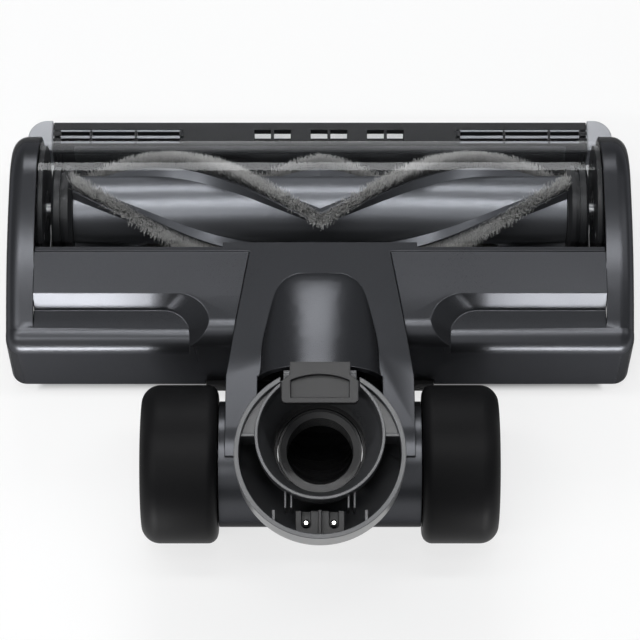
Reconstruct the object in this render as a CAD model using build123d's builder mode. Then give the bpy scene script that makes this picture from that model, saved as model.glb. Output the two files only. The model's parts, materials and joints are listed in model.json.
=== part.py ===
# Powered floor brush head of a stick vacuum cleaner, in millimetres.
#
# +X runs along the brush roller, +Y points to the front edge and +Z points up.
# The origin lies on the floor, in the middle of the head's outer box.
# Side profiles are drawn in sketches whose first number is the distance in front of the
# roller's axis and whose second number is the height above the floor.

from math import acos, atan2, cos, degrees, hypot, radians, sin, tan
import os

from build123d import *

os.makedirs("parts", exist_ok=True)

# Whole head
head_width = 250.0
wall = 2.2
seam = 0.2
running_gap = 0.1
free_gap = 0.4
skirt_height = 4.6

# Brush roller
roller_height = 24.5
drum_radius = 13.8
drum_wall = 2.4
disc_end_gap = 2.7
ridge_radius = 17.3
ridge_root_width = 8.0
ridge_crest_width = 4.8
bristle_radius = 24.0
bristle_root_width = 3.4
bristle_tip_width = 5.0
strip_count = 3
strip_start_angle = 129.0
strip_twist = 1.65
strip_stations = 8
disc_radius = 18.2
disc_thickness = 8.4
disc_gap = 0.3
disc_bevel = 1.6
groove_start = 3.2
groove_end = 5.0
groove_depth = 2.6
disc_step = 0.8
shaft_radius = 3.0
shaft_grip = 12.0

# Window over the roller, with the flange along its front edge
window_radius = 28.3
window_thickness = 1.6
window_rear = 27.4
window_drop = 0.5
window_front_angle = -14.0
flange_front = 43.8
flange_height = 19.0
flange_thickness = 1.3
flange_end_gap = 0.8

# Front bar with its comb of intake slots
bar_front = 44.4
bar_rear = 30.4
bar_wall = 1.8
slot_rear = 34.4
slot_front = 41.0
slot_rib = 1.3
comb_pitch = 23.5
comb_shift = 3.7
comb_slot = 15.2
comb_half_width = 46.8
gate_height = 5.0
long_window_start = 57.2
long_window_pitch = 18.7
long_window_count = 3
corner_inset = 3.8
corner_width = 10.2
corner_height = 19.6
corner_radius = 8.0

# Covers with their cheeks
cheek_width = 11.4
cheek_radius = 29.9
cheek_flat = 8.0
cheek_front_angle = -30.0
body_rear = 69.1
deck_front = 32.0
deck_front_height = 51.0
deck_step = 49.5
deck_step_height = 49.4
deck_rear_fillet = 9.0
step_run = 3.8
lower_deck_height = 41.5
lower_rear_fillet = 8.0
recess_inner_top = 43.5
recess_inner_foot = 51.5
recess_corner_top = 13.3
recess_corner_foot = 11.0
cover_edge_round = 6.4

# Saddle cover with its cowl and arms
saddle_front = 27.8
saddle_front_half_width = 38.6
saddle_neck_half_width = 28.0
saddle_body_half_width = 34.2
saddle_rear_half_width = 36.7
lip_width = 2.0
lip_depth = 5.0
saddle_bend = 75.0
arm_inner = 24.3
arm_thickness = 2.4
arm_end_angle = 106.0
arm_low_height = 28.8
cowl_wall = 2.0
cowl_end = 87.0
cowl_sink = 2.0
cowl_front = 41.8
cowl_front_half_width = 13.0
cowl_front_rise = 0.8
cowl_end_half_width = 24.8
cowl_end_rise = 13.0

# Rear barrel, wheels and axles
barrel_setback = 115.0
barrel_height = 31.0
barrel_radius = 24.6
barrel_wall = 2.2
barrel_half_length = 39.3
barrel_slot_half_width = 18.6
wheel_width = 29.6
wheel_gap = 0.5
tyre_thickness = 6.4
tyre_outer_round = 7.0
tyre_outer_drop = 5.0
tyre_inner_round = 4.0
tyre_inner_drop = 3.4
cap_thickness = 2.0
cap_dish_radius = 17.0
axle_radius = 4.0
axle_grip = 9.0
axle_boss_wall = 3.0
axle_end_gap = 4.0
spoke_count = 6

# Neck, in its own frame: length runs up its axis from the barrel's axis
neck_elevation = 75.0
neck_tube_radius = 20.5
neck_tube_wall = 2.3
neck_tube_end = 42.2
cup_mouth = 85.0
cup_radius = 31.6
cup_wall = 1.8
cup_drop = 6.8
cup_full_from = 62.0
collar_radius = 23.0
collar_start = 36.0
cup_floor = 3.0
ring_radius = 24.0
ring_wall = 1.2
ring_straight_from = 75.0
throat_radius = 17.4
throat_length = 9.4

# Inner hose and the duct that feeds it
hose_radius = 16.0
hose_wall = 1.2
hose_rib_depth = 1.6
hose_rib_pitch = 5.0
hose_bend_radius = 24.0
hose_end = 39.5
cuff_length = 7.0
duct_corner = 6.0
hose_play = 0.3
duct_wall = 1.6
duct_half_width = 19.0
duct_low = 14.0
duct_high = 40.0
duct_end = 86.0
hose_socket = 6.0

# Release latch
latch_half_width = 11.1
latch_frame_half_width = 14.1
latch_frame_low = 11.2
latch_shoulder_low = 19.4
latch_shoulder_high = 21.8
latch_corner_round = 1.6
latch_tab_round = 2.6
latch_window_half_width = 10.8
latch_window_side = 19.6
latch_window_top = 21.8
latch_face_depth = 2.4
latch_hook_depth = 6.0
latch_hook_length = 3.0
latch_hook_taper = 20.0
latch_pivot_length = 58.0
latch_pivot_height = 25.7
latch_tab_thickness = 1.6
latch_boss_radius = 1.6
latch_top = 87.4
latch_frame_depth = 4.4
latch_bar = 2.0
latch_pin_radius = 1.0
notch_depth = 11.0
ear_width = 2.4
ear_half_length = 3.4
ear_height = 5.1
ear_radius = 2.2

# Contact block
contact_spread = 5.1
contact_drop = 31.8
contact_pin_radius = 1.3
contact_block_half_width = 9.0
contact_block_top = 76.0
contact_block_depth = 11.8
contact_block_inner = 27.0
contact_slot_depth = 3.0
pocket_rib = 1.2
pocket_rib_offset = 17.0
pocket_rib_inner = 27.2
pocket_rib_depth = 8.0
thin_rib = 0.8
thin_rib_outer = 26.5
thin_rib_length = 10.5
thin_rib_places = (10.5, 12.7)
rib_drop = 5.0
web_length = 10.0
web_depth = 1.6
shelf_depth = 5.0

# Chassis, sole and feet
chamber_radius = 27.6
chamber_wall = 1.8
floor_height = 6.2
floor_thickness = 2.0
sole_height = 3.8
sole_thickness = 2.0
mouth_rear = 20.0
mouth_front = 27.0
mouth_end_margin = 8.4
sole_front = 43.2
sole_rear = 66.2
pad_length = 16.0
pad_depth = 8.0
pad_inset = 5.0
pad_middle = 38.0
seal_lift = 0.8
seal_setback = 25.5
seal_end_gap = 3.0
seal_width = 4.0
yoke_plate = 3.0
yoke_outer = 33.4
yoke_rear_angle = 230.0
yoke_front_angle = 290.0
bracket_half_width = 46.0
cradle_foot = 9.0
cradle_lap = 4.0
bracket_rear = 72.6
boss_radius = 3.6
boss_gap = 9.0
boss_setback = 8.0
boss_height = 12.0

# Drive
motor_setback = 47.5
cradle_seat = 3.3
cradle_inset = 12.0
motor_length = 48.0
motor_end_gap = 1.4
motor_boss_radius = 5.0
motor_boss_length = 1.8
motor_shaft_radius = 1.6
motor_shaft_grip = 8.0
motor_bore_depth = 16.0
terminal_offset = 5.0
terminal_height = 3.0
clamp_thickness = 1.4
clamp_width = 12.0
clamp_foot = 3.0
cradle_thickness = 3.0
motor_pulley_radius = 5.0
roller_pulley_radius = 9.0
pulley_width = 5.4
pulley_end_gap = 3.4
pulley_flange = 1.0
pulley_flange_width = 0.6
roller_pulley_teeth = 22
motor_pulley_teeth = 12
belt_thickness = 1.4
plate_thickness = 2.0
bearing_radius = 8.0
bearing_width = 4.4
seat_wall = 2.4
vent_count = 3
vent_radius = 2.2

# Circuit board
board_length = 42.0
board_depth = 22.0
board_thickness = 1.6
board_lift = 4.0
board_end_gap = 6.4
board_setback = 48.0
post_margin = 4.0
post_radius = 2.0

# Small rollers in the sole
sole_roller_radius = 4.4
sole_roller_width = 10.0
sole_roller_setback = 36.0
sole_roller_offset = 52.0
sole_roller_play = 0.6
sole_pin_radius = 1.2
sole_pin_grip = 2.0
sole_ear_width = 2.6
sole_ear_depth = 5.0
sole_ear_drop = 0.8
sole_ear_rise = 0.4
sole_roller_lift = 0.3

# Screws
screw_radius = 1.5
screw_head_radius = 2.8

# Places that follow from the sizes above
tilt = radians(neck_elevation)
rear_reach = barrel_setback + cup_mouth * cos(tilt) + (cup_drop + cup_radius) * sin(tilt)
roller_y = (rear_reach - bar_front) / 2
barrel_y = roller_y - barrel_setback
inner_half = head_width / 2 - cheek_width
wheel_inner = barrel_half_length + wheel_gap
wheel_outer = wheel_inner + wheel_width
plate_outer = inner_half - seam
plate_inner = plate_outer - plate_thickness
drum_half_length = plate_inner - disc_end_gap - disc_thickness - disc_gap
corner_half_width = head_width / 2 - corner_inset
flange_half_width = corner_half_width - corner_width - flange_end_gap
mouth_half_width = plate_inner - mouth_end_margin
pad_offset = mouth_half_width - pad_inset
motor_inner_end = plate_inner - motor_end_gap - motor_length
board_centre = plate_inner - board_end_gap - board_length / 2
boss_offset = board_centre - board_length / 2 - boss_gap
window_rear_height = deck_front_height - window_drop
floor_top = floor_height + floor_thickness
motor_radius = (lower_deck_height - wall - free_gap - clamp_thickness - floor_top - cradle_seat) / 2
motor_height = floor_top + cradle_seat + motor_radius
screw_places = [(boss_offset, boss_setback - sole_rear), (-boss_offset, boss_setback - sole_rear)]
sole_roller_places = [(sign * sole_roller_offset, -sole_roller_setback) for sign in (1, -1)]
wheel_radius = barrel_height
barrel_bore = barrel_radius + running_gap
arm_radius = barrel_bore + arm_thickness
disc_inner = drum_half_length + disc_gap
disc_outer = disc_inner + disc_thickness
pulley_inner = inner_half + pulley_end_gap
pulley_outer = pulley_inner + pulley_width

# Sketch planes
side = Plane(origin=(0, roller_y, 0), x_dir=(0, 1, 0), z_dir=(1, 0, 0))
plan = Plane(origin=(0, roller_y, 0), x_dir=(1, 0, 0), z_dir=(0, 0, 1))
roller = Plane(origin=(0, roller_y, roller_height), x_dir=(0, 1, 0), z_dir=(1, 0, 0))
barrel = Plane(origin=(0, barrel_y, barrel_height), x_dir=(0, 1, 0), z_dir=(1, 0, 0))
neck = Plane(origin=barrel.origin, x_dir=(1, 0, 0), z_dir=(0, -cos(tilt), sin(tilt)))
latch_side = Plane(neck.origin, x_dir=neck.y_dir, z_dir=(1, 0, 0))
motor = Plane(origin=(0, roller_y - motor_setback, motor_height), x_dir=(0, 1, 0), z_dir=(1, 0, 0))


# A point on a circle, from its angle in degrees
def polar(radius, angle, centre=(0.0, 0.0)):
    turn = radians(angle)
    return (centre[0] + radius * cos(turn), centre[1] + radius * sin(turn))


# Roller: one helical row of one half, lofted through its stations
def helical_row(low, high, root_width, tip_width, start_angle, half_length):
    root_half = degrees(root_width / 2 / low)
    tip_half = degrees(tip_width / 2 / high)
    with BuildPart() as row:
        for station in range(strip_stations + 1):
            along = half_length * station / strip_stations
            middle = start_angle - strip_twist * along
            with BuildSketch(roller.offset(along)):
                with BuildLine():
                    Polyline(
                        polar(low, middle - root_half),
                        polar(high, middle - tip_half),
                        polar(high, middle + tip_half),
                        polar(low, middle + root_half),
                        close=True,
                    )
                make_face()
        loft()
    return row.part


row_angles = [strip_start_angle + 360 * index / strip_count for index in range(strip_count)]

with BuildPart() as roller_drum:
    with BuildSketch(roller):
        Circle(drum_radius)
    extrude(amount=drum_half_length, both=True)
    for angle in row_angles:
        ridge = helical_row(
            drum_radius - drum_wall / 2, ridge_radius, ridge_root_width, ridge_crest_width, angle, drum_half_length
        )
        add(ridge)
        add(ridge.mirror(Plane.YZ))
    with BuildSketch(roller):
        Circle(drum_radius - drum_wall)
    extrude(amount=drum_half_length - drum_wall - shaft_grip / 2, both=True, mode=Mode.SUBTRACT)
    with BuildSketch(roller):
        Circle(shaft_radius)
    extrude(amount=drum_half_length, both=True, mode=Mode.SUBTRACT)
roller_drum.part.label = "roller_drum"

with BuildPart() as bristle_strips:
    for angle in row_angles:
        bristles = helical_row(
            ridge_radius + 0.05, bristle_radius, bristle_root_width, bristle_tip_width, angle, drum_half_length
        )
        add(bristles)
        add(bristles.mirror(Plane.YZ))
bristle_strips.part.label = "bristle_strips"


# Roller: black end discs with a thread-guard groove
def make_end_disc(side_sign):
    with BuildPart() as disc:
        with BuildSketch(Plane(roller.origin, x_dir=(side_sign, 0, 0), z_dir=(0, 0, 1))):
            with BuildLine():
                Polyline(
                    (disc_inner, shaft_radius),
                    (disc_inner, disc_radius - disc_bevel),
                    (disc_inner + disc_bevel, disc_radius),
                    (disc_inner + groove_start, disc_radius),
                    (disc_inner + groove_start, disc_radius - groove_depth),
                    (disc_inner + groove_end, disc_radius - groove_depth),
                    (disc_inner + groove_end, disc_radius - disc_step),
                    (disc_outer - 1.0, disc_radius - disc_step),
                    (disc_outer, disc_radius - disc_step - 1.0),
                    (disc_outer, shaft_radius),
                    close=True,
                )
            make_face()
        revolve(axis=Axis(roller.origin, (1, 0, 0)))
    return disc


end_disc_left = make_end_disc(-1)
end_disc_left.part.label = "roller_end_disc_left"
end_disc_right = make_end_disc(1)
end_disc_right.part.label = "roller_end_disc_right"

with BuildPart() as roller_shaft:
    with BuildSketch(roller.offset(drum_half_length - shaft_grip)):
        Circle(shaft_radius)
    extrude(amount=plate_outer + bearing_width - drum_half_length + shaft_grip)
    with BuildSketch(roller.offset(-drum_half_length + shaft_grip)):
        Circle(shaft_radius)
    extrude(amount=-(pulley_outer - drum_half_length + shaft_grip))
roller_shaft.part.label = "roller_shaft"


# Pulleys: a toothed rim between two flanges
def make_pulley(plane, radius, bore, teeth):
    with BuildPart() as pulley:
        with BuildSketch(plane.offset(-pulley_inner)):
            Circle(radius)
            with PolarLocations(radius, teeth):
                Circle(radius * 1.1 / teeth, mode=Mode.SUBTRACT)
        extrude(amount=-pulley_width)
        for edge in (pulley_inner, pulley_outer - pulley_flange_width):
            with BuildSketch(plane.offset(-edge)):
                Circle(radius + pulley_flange)
            extrude(amount=-pulley_flange_width)
        with BuildSketch(plane.offset(-pulley_inner)):
            Circle(bore)
        extrude(amount=-pulley_width, mode=Mode.SUBTRACT)
    return pulley


roller_pulley = make_pulley(roller, roller_pulley_radius, shaft_radius, roller_pulley_teeth)
roller_pulley.part.label = "roller_pulley"
motor_pulley = make_pulley(motor, motor_pulley_radius, motor_shaft_radius, motor_pulley_teeth)
motor_pulley.part.label = "motor_pulley"

# Rotor of the motor: its shaft carries the small pulley
with BuildPart() as motor_shaft:
    with BuildSketch(motor.offset(motor_shaft_grip - plate_inner)):
        Circle(motor_shaft_radius)
    extrude(amount=plate_inner - motor_shaft_grip - pulley_outer)
motor_shaft.part.label = "motor_shaft"


# Covers: side outline of a cheek, drawn from its lower rear corner
def cheek_outline(inset):
    radius = cheek_radius - inset
    low = skirt_height + inset
    with BuildSketch() as outline:
        with BuildLine():
            rear = -body_rear + inset
            top = roller_height + radius
            rear_top = lower_deck_height - inset
            front = polar(radius, cheek_front_angle, (0, roller_height))
            bend = lower_rear_fillet - inset
            Line((rear, low), (rear, rear_top - bend))
            CenterArc((rear + bend, rear_top - bend), bend, 90, 90)
            TangentArc((-cheek_flat, top), (rear + bend, rear_top), tangent=(-1, 0))
            Line((-cheek_flat, top), (0, top))
            CenterArc((0, roller_height), radius, cheek_front_angle, 90 - cheek_front_angle)
            Polyline(front, (front[0] - 3.0, low), (rear, low))
        make_face()
    return outline.sketch


# Covers: side outline of the rear box, with a high or a low deck
def deck_outline(front_height, rear_height, rear_fillet, inset):
    with BuildSketch() as outline:
        with BuildLine():
            Polyline(
                (-deck_front, front_height - inset),
                (-deck_step, rear_height - inset),
                (-body_rear + inset, rear_height - inset),
                (-body_rear + inset, skirt_height),
                (-deck_front, skirt_height),
                close=True,
            )
        make_face()
        corner = outline.vertices().sort_by(Axis.X).group_by(Axis.X)[0].sort_by(Axis.Y)[-1]
        fillet(corner, rear_fillet - inset)
    return outline.sketch


# Covers: the step cut of the right-hand deck, seen from above
def recess_outline(front, inner, corner):
    far = head_width
    with BuildSketch() as outline:
        with BuildLine():
            Polyline(
                (inner + corner, -front), (far, -front), (far, -far), (inner, -far), (inner, -front - corner)
            )
            RadiusArc((inner, -front - corner), (inner + corner, -front), corner)
        make_face()
    return outline.sketch


def make_recess(shift):
    foot = recess_outline(deck_step + step_run, recess_inner_foot, recess_corner_foot)
    top = recess_outline(deck_step, recess_inner_top, recess_corner_top)
    with BuildPart() as recess:
        with BuildSketch(plan.offset(lower_deck_height)):
            add(foot)
        with BuildSketch(plan.offset(deck_step_height)):
            add(top)
        loft()
        with BuildSketch(plan.offset(-wall)):
            add(foot)
        extrude(amount=lower_deck_height + wall)
        with BuildSketch(plan.offset(deck_step_height)):
            add(top)
        extrude(amount=deck_front_height)
    return recess.part.moved(Location((-shift, shift, -shift)))


# Covers: the saddle's outline from above, which the two covers leave free
def saddle_outline(grow):
    rear_point = barrel_setback + barrel_radius
    rear_half = saddle_rear_half_width + grow
    with BuildSketch() as outline:
        with BuildLine():
            Polyline(
                (0, -deck_front),
                (saddle_neck_half_width + grow, -deck_front),
                (saddle_body_half_width + grow, -body_rear),
                (rear_half, -cowl_end),
                (rear_half, -rear_point),
                (0, -rear_point),
                close=True,
            )
        make_face()
        mirror(about=Plane.YZ)
    return outline.sketch


# Space inside the right-hand cheek
with BuildPart() as cheek_hollow:
    with BuildSketch(side.offset(inner_half)):
        add(cheek_outline(wall))
    extrude(amount=cheek_width - wall)
    outer_face = cheek_hollow.faces().sort_by(Axis.X)[-1]
    outer_rim = [edge for edge in outer_face.edges() if edge.center().Z > skirt_height + 2 * wall]
    fillet(outer_rim, cover_edge_round - wall)

# Space inside the right-hand cover
with BuildPart() as cover_hollow:
    with BuildSketch(side):
        add(deck_outline(deck_front_height, deck_step_height, deck_rear_fillet, wall))
    extrude(amount=inner_half + cheek_width / 2)
    add(make_recess(wall), mode=Mode.SUBTRACT)
    with BuildSketch(side):
        add(deck_outline(lower_deck_height, lower_deck_height, lower_rear_fillet, wall))
    extrude(amount=inner_half + cheek_width / 2)

# One cover: stepped deck and cheek in one moulding, drawn on the right-hand side
with BuildPart() as cover_right:
    with BuildSketch(side):
        add(deck_outline(deck_front_height, deck_step_height, deck_rear_fillet, 0))
    extrude(amount=inner_half)
    add(make_recess(0), mode=Mode.SUBTRACT)
    with BuildSketch(side):
        add(deck_outline(lower_deck_height, lower_deck_height, lower_rear_fillet, 0))
    extrude(amount=inner_half)
    with BuildSketch(side.offset(inner_half)):
        add(cheek_outline(0))
    extrude(amount=cheek_width)
    outer_face = cover_right.faces().sort_by(Axis.X)[-1]
    outer_rim = [edge for edge in outer_face.edges() if edge.center().Z > skirt_height + wall]
    fillet(outer_rim, cover_edge_round)
    add(cover_hollow.part, mode=Mode.SUBTRACT)
    add(cheek_hollow.part, mode=Mode.SUBTRACT)
    with BuildSketch(plan):
        add(saddle_outline(seam))
    extrude(amount=2 * deck_front_height, mode=Mode.SUBTRACT)
    with BuildSketch(plan):
        with Locations((0, -sole_rear)):
            Rectangle(bracket_half_width + seam, body_rear, align=(Align.MIN, Align.MAX))
    extrude(amount=floor_height + floor_thickness + seam, mode=Mode.SUBTRACT)
cover_right.part.label = "cover_right"

with BuildPart() as cover_left:
    add(cover_right.part.mirror(Plane.YZ))
cover_left.part.label = "cover_left"

# Saddle cover: thin centre panel, front lip, arms over the barrel and the hollow cowl
arm_centre = (-barrel_setback, barrel_height)
bend_reach = hypot(barrel_setback - saddle_bend, deck_front_height - barrel_height)
bend_angle = degrees(atan2(deck_front_height - barrel_height, barrel_setback - saddle_bend))
arm_tangent_angle = bend_angle + degrees(acos(arm_radius / bend_reach))
arm_low_angle = -degrees(atan2(barrel_height - arm_low_height, barrel_bore))


# Half-round section of the cowl at a distance behind the roller's axis
def cowl_section(back, inset):
    share = (back - cowl_front) / (cowl_end - cowl_front)
    half_width = cowl_front_half_width + (cowl_end_half_width - cowl_front_half_width) * share**0.45 - inset
    rise = cowl_front_rise + (cowl_end_rise - cowl_front_rise) * share**0.75 + cowl_sink - inset / 2
    base = deck_front_height - cowl_sink - inset
    with BuildSketch(Plane(origin=(0, roller_y - back, base), x_dir=(1, 0, 0), z_dir=(0, -1, 0))) as section:
        with BuildLine():
            EllipticalCenterArc((0, 0), half_width, rise, start_angle=0, arc_size=180)
            Line((-half_width, 0), (half_width, 0))
        make_face()
    return section.sketch


def cowl_body(first, last, inset):
    steps = 5
    places = [first + (last - first) * (index / steps) ** 1.4 for index in range(steps + 1)]
    sections = [cowl_section(place, inset) for place in places]
    return loft(sections)


with BuildPart() as saddle_cover:
    with BuildSketch(side):
        with BuildLine():
            under = deck_front_height - wall
            body_back = -body_rear - seam
            Polyline((-saddle_front, under), (-saddle_front, deck_front_height), (-saddle_bend, deck_front_height))
            Line((-saddle_bend, deck_front_height), polar(arm_radius, arm_tangent_angle, arm_centre))
            CenterArc(arm_centre, arm_radius, arm_tangent_angle, arm_end_angle - arm_tangent_angle)
            Line(polar(arm_radius, arm_end_angle, arm_centre), polar(barrel_bore, arm_end_angle, arm_centre))
            CenterArc(arm_centre, barrel_bore, arm_end_angle, arm_low_angle - arm_end_angle)
            low_point = polar(barrel_bore, arm_low_angle, arm_centre)
            Polyline(low_point, (body_back, low_point[1]), (body_back, under), (-saddle_front, under))
        make_face()
    extrude(amount=saddle_front_half_width, both=True)
    with BuildSketch(plan):
        add(saddle_outline(0))
        with BuildLine():
            lip_back = -saddle_front - lip_width
            Polyline(
                (-saddle_front_half_width, -saddle_front),
                (saddle_front_half_width, -saddle_front),
                (saddle_front_half_width, lip_back),
                (saddle_neck_half_width, -deck_front),
                (-saddle_neck_half_width, -deck_front),
                (-saddle_front_half_width, lip_back),
                close=True,
            )
        make_face()
    extrude(amount=2 * deck_front_height, mode=Mode.INTERSECT)
    with BuildSketch(side.offset(-plate_outer)):
        with Locations((lip_back, deck_front_height)):
            Rectangle(lip_width, lip_depth, align=(Align.MAX, Align.MAX))
    extrude(amount=2 * plate_outer)
    roof_slope = tan(radians(arm_tangent_angle - 90))
    with BuildSketch(side):
        with BuildLine():
            far = barrel_setback
            Polyline(
                (body_back, low_point[1] - wall),
                (body_back, under),
                (-saddle_bend, under),
                (-far, under - roof_slope * (far - saddle_bend)),
                (-far, low_point[1] - wall),
                close=True,
            )
        make_face()
    extrude(amount=saddle_body_half_width - 1.0, both=True, mode=Mode.SUBTRACT)
    add(cowl_body(cowl_front, cowl_end, 0))
    add(cowl_body(cowl_front + 4 * cowl_wall, cowl_end + wall, cowl_wall), mode=Mode.SUBTRACT)
    with BuildSketch(plan):
        with Locations((0, -cowl_end)):
            Rectangle(2 * arm_inner, cowl_end, align=(Align.CENTER, Align.MAX))
    extrude(amount=2 * deck_front_height, mode=Mode.SUBTRACT)
saddle_cover.part.label = "saddle_cover"


# Window: curved wall around the roller, flatter towards its rear edge, with the front flange
def window_edge(radius, rear_height, offset_height):
    arc = CenterArc((0, 0), radius, window_front_angle, 90 - window_front_angle)
    rear = TangentArc((0, radius), (-window_rear, rear_height - offset_height), tangent=(-1, 0))
    return arc, rear


with BuildPart() as brush_window:
    with BuildSketch(roller):
        with BuildLine():
            rear_rise = window_rear_height - roller_height
            inner_radius = window_radius - window_thickness
            window_edge(window_radius, rear_rise, 0)
            window_edge(inner_radius, rear_rise, window_thickness)
            Line((-window_rear, rear_rise), (-window_rear, rear_rise - window_thickness))
            Line(polar(window_radius, window_front_angle), polar(inner_radius, window_front_angle))
        make_face()
    extrude(amount=plate_outer, both=True)
    with BuildSketch(side):
        with Locations((flange_front, flange_height)):
            Rectangle(flange_front - window_radius + 1.0, flange_thickness, align=(Align.MAX, Align.MAX))
    extrude(amount=flange_half_width, both=True)
brush_window.part.label = "brush_window"

# Front bar: angle section with long windows at the sides and a comb of slots in the middle
bar_bottom = sole_height + sole_thickness
bar_top = flange_height - flange_thickness - seam / 2
with BuildPart() as front_bar:
    with BuildSketch(side):
        with BuildLine():
            Polyline(
                (bar_rear, bar_top),
                (bar_front, bar_top),
                (bar_front, bar_bottom),
                (bar_front - bar_wall, bar_bottom),
                (bar_front - bar_wall, bar_top - bar_wall),
                (bar_rear, bar_top - bar_wall),
                close=True,
            )
        make_face()
    extrude(amount=corner_half_width - corner_width - seam, both=True)
    rib_depth = bar_front - bar_rear
    rib_height = bar_top - bar_bottom
    rib_places = [sign * long_window_start for sign in (-1, 1)]
    rib_places += [sign * (flange_half_width - slot_rib) for sign in (-1, 1)]
    rib_places += [sign * (comb_half_width + slot_rib) for sign in (-1, 1)]
    with BuildSketch(plan.offset(bar_bottom)):
        with Locations([(place, bar_rear) for place in rib_places]):
            Rectangle(slot_rib, rib_depth, align=(Align.CENTER, Align.MIN))
    extrude(amount=rib_height)
    slot_depth = slot_front - slot_rear
    with BuildSketch(plan.offset(bar_bottom)):
        for index in (-1, 0, 1):
            for half in (-1, 1):
                centre = comb_shift + index * comb_pitch + half * (comb_slot + slot_rib) / 4
                with Locations((centre, slot_rear)):
                    Rectangle((comb_slot - slot_rib) / 2, slot_depth, align=(Align.CENTER, Align.MIN))
        for sign in (-1, 1):
            for index in range(long_window_count):
                start = long_window_start + slot_rib + index * long_window_pitch
                stop = min(start + long_window_pitch - slot_rib, flange_half_width - 2 * slot_rib)
                with Locations((sign * (start + stop) / 2, slot_rear)):
                    Rectangle(stop - start, slot_depth, align=(Align.CENTER, Align.MIN))
    extrude(amount=rib_height, mode=Mode.SUBTRACT)
    with BuildSketch(plan.offset(bar_bottom)):
        for index in (-1, 0, 1):
            with Locations((comb_shift + index * comb_pitch, slot_front)):
                Rectangle(comb_slot, rib_depth, align=(Align.CENTER, Align.MIN))
    extrude(amount=gate_height, mode=Mode.SUBTRACT)
front_bar.part.label = "front_bar"


# Corner bumpers at both ends of the front bar
def make_corner(sign):
    with BuildPart() as corner:
        with BuildSketch(plan.offset(bar_bottom)):
            middle = sign * (corner_half_width - corner_width / 2)
            with Locations((middle, bar_front)):
                Rectangle(corner_width, bar_front - bar_rear, align=(Align.CENTER, Align.MAX))
        extrude(amount=corner_height - bar_bottom)
        uprights = corner.edges().filter_by(Axis.Z).group_by(Axis.Y)[-1]
        outer = uprights.sort_by(Axis.X)[-1 if sign > 0 else 0]
        fillet(outer, corner_radius)
        fillet(corner.faces().sort_by(Axis.Z)[-1].edges(), 0.8)
    return corner


corner_bumper_left = make_corner(-1)
corner_bumper_left.part.label = "corner_bumper_left"
corner_bumper_right = make_corner(1)
corner_bumper_right.part.label = "corner_bumper_right"

# Chassis: chamber wall, floor, motor cradle, bosses and the lower yoke of the barrel
chassis_half = plate_inner - seam
chamber_top = deck_front_height - lip_depth - seam
chamber_end = degrees(acos((floor_height - roller_height) / (chamber_radius + chamber_wall))) + 90.0
cradle_places = (-motor_inner_end - cradle_inset, -motor_inner_end - motor_length + cradle_inset)

yoke_top = arm_low_height - seam
yoke_low_angle = -degrees(atan2(barrel_height - yoke_top, barrel_bore))


# Yoke: half ring under the barrel
def yoke_ring():
    last = yoke_rear_angle - 360
    with BuildSketch() as ring:
        with BuildLine():
            CenterArc(arm_centre, arm_radius, yoke_low_angle, last - yoke_low_angle)
            CenterArc(arm_centre, barrel_bore, yoke_low_angle, last - yoke_low_angle)
            for angle in (yoke_low_angle, last):
                Line(polar(arm_radius, angle, arm_centre), polar(barrel_bore, angle, arm_centre))
        make_face()
    return ring.sketch


# Yoke: side plate from the body to the half ring
def yoke_web():
    with BuildSketch() as web:
        with BuildLine():
            Polyline(
                (-sole_rear - seam, floor_height),
                (-sole_rear - seam, yoke_top),
                (polar(arm_radius, yoke_low_angle, arm_centre)[0] - arm_thickness, yoke_top),
                polar(arm_radius - arm_thickness / 2, yoke_front_angle, arm_centre),
                close=True,
            )
        make_face()
        with Locations(arm_centre):
            Circle(barrel_bore, mode=Mode.SUBTRACT)
    return web.sketch


with BuildPart() as base_housing:
    with BuildSketch(side):
        with BuildLine():
            outer = chamber_radius + chamber_wall
            hub = (0, roller_height)
            Line((-chamber_radius, chamber_top), (-chamber_radius, roller_height))
            CenterArc(hub, chamber_radius, 180, chamber_end - 180)
            Line(polar(chamber_radius, chamber_end, hub), polar(outer, chamber_end, hub))
            CenterArc(hub, outer, chamber_end, 180 - chamber_end)
            Polyline((-outer, roller_height), (-outer, chamber_top), (-chamber_radius, chamber_top))
        make_face()
        with BuildLine():
            start = polar(outer - chamber_wall / 2, chamber_end, hub)[0]
            Polyline(
                (start, floor_height),
                (-sole_rear, floor_height),
                (-sole_rear, floor_top),
                (start - 2 * chamber_wall, floor_top),
                close=True,
            )
        make_face()
    extrude(amount=chassis_half, both=True)
    with BuildSketch(side):
        with Locations((-chamber_radius + chamber_wall, duct_low)):
            Rectangle(4 * chamber_wall, duct_high - duct_low, align=(Align.MAX, Align.MIN))
    extrude(amount=duct_half_width, both=True, mode=Mode.SUBTRACT)
    # motor cradle
    for place in cradle_places:
        with BuildSketch(side.offset(place - cradle_thickness / 2)):
            with Locations((-motor_setback, floor_top)):
                Rectangle(2 * motor_radius - 4, motor_height - floor_top - 4, align=(Align.CENTER, Align.MIN))
            with Locations((-motor_setback, motor_height)):
                Circle(motor_radius, mode=Mode.SUBTRACT)
        extrude(amount=cradle_thickness)
    # screw bosses and board posts
    with BuildSketch(plan.offset(floor_top)):
        with Locations(screw_places):
            Circle(boss_radius)
    extrude(amount=boss_height)
    with BuildSketch(plan.offset(floor_top)):
        with Locations((board_centre, -board_setback)):
            with GridLocations(board_length - 2 * post_margin, board_depth - 2 * post_margin, 2, 2):
                Circle(post_radius)
    extrude(amount=board_lift)
    with BuildSketch(plan.offset(floor_height)):
        with Locations(screw_places):
            Circle(screw_radius)
    extrude(amount=boss_height, mode=Mode.SUBTRACT)
    # pockets over the small sole rollers
    with BuildSketch(plan.offset(floor_height)):
        with Locations(sole_roller_places):
            Rectangle(sole_roller_width + 4 * sole_roller_play, 2 * sole_roller_radius + 2.0)
    extrude(amount=floor_thickness, mode=Mode.SUBTRACT)
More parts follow.
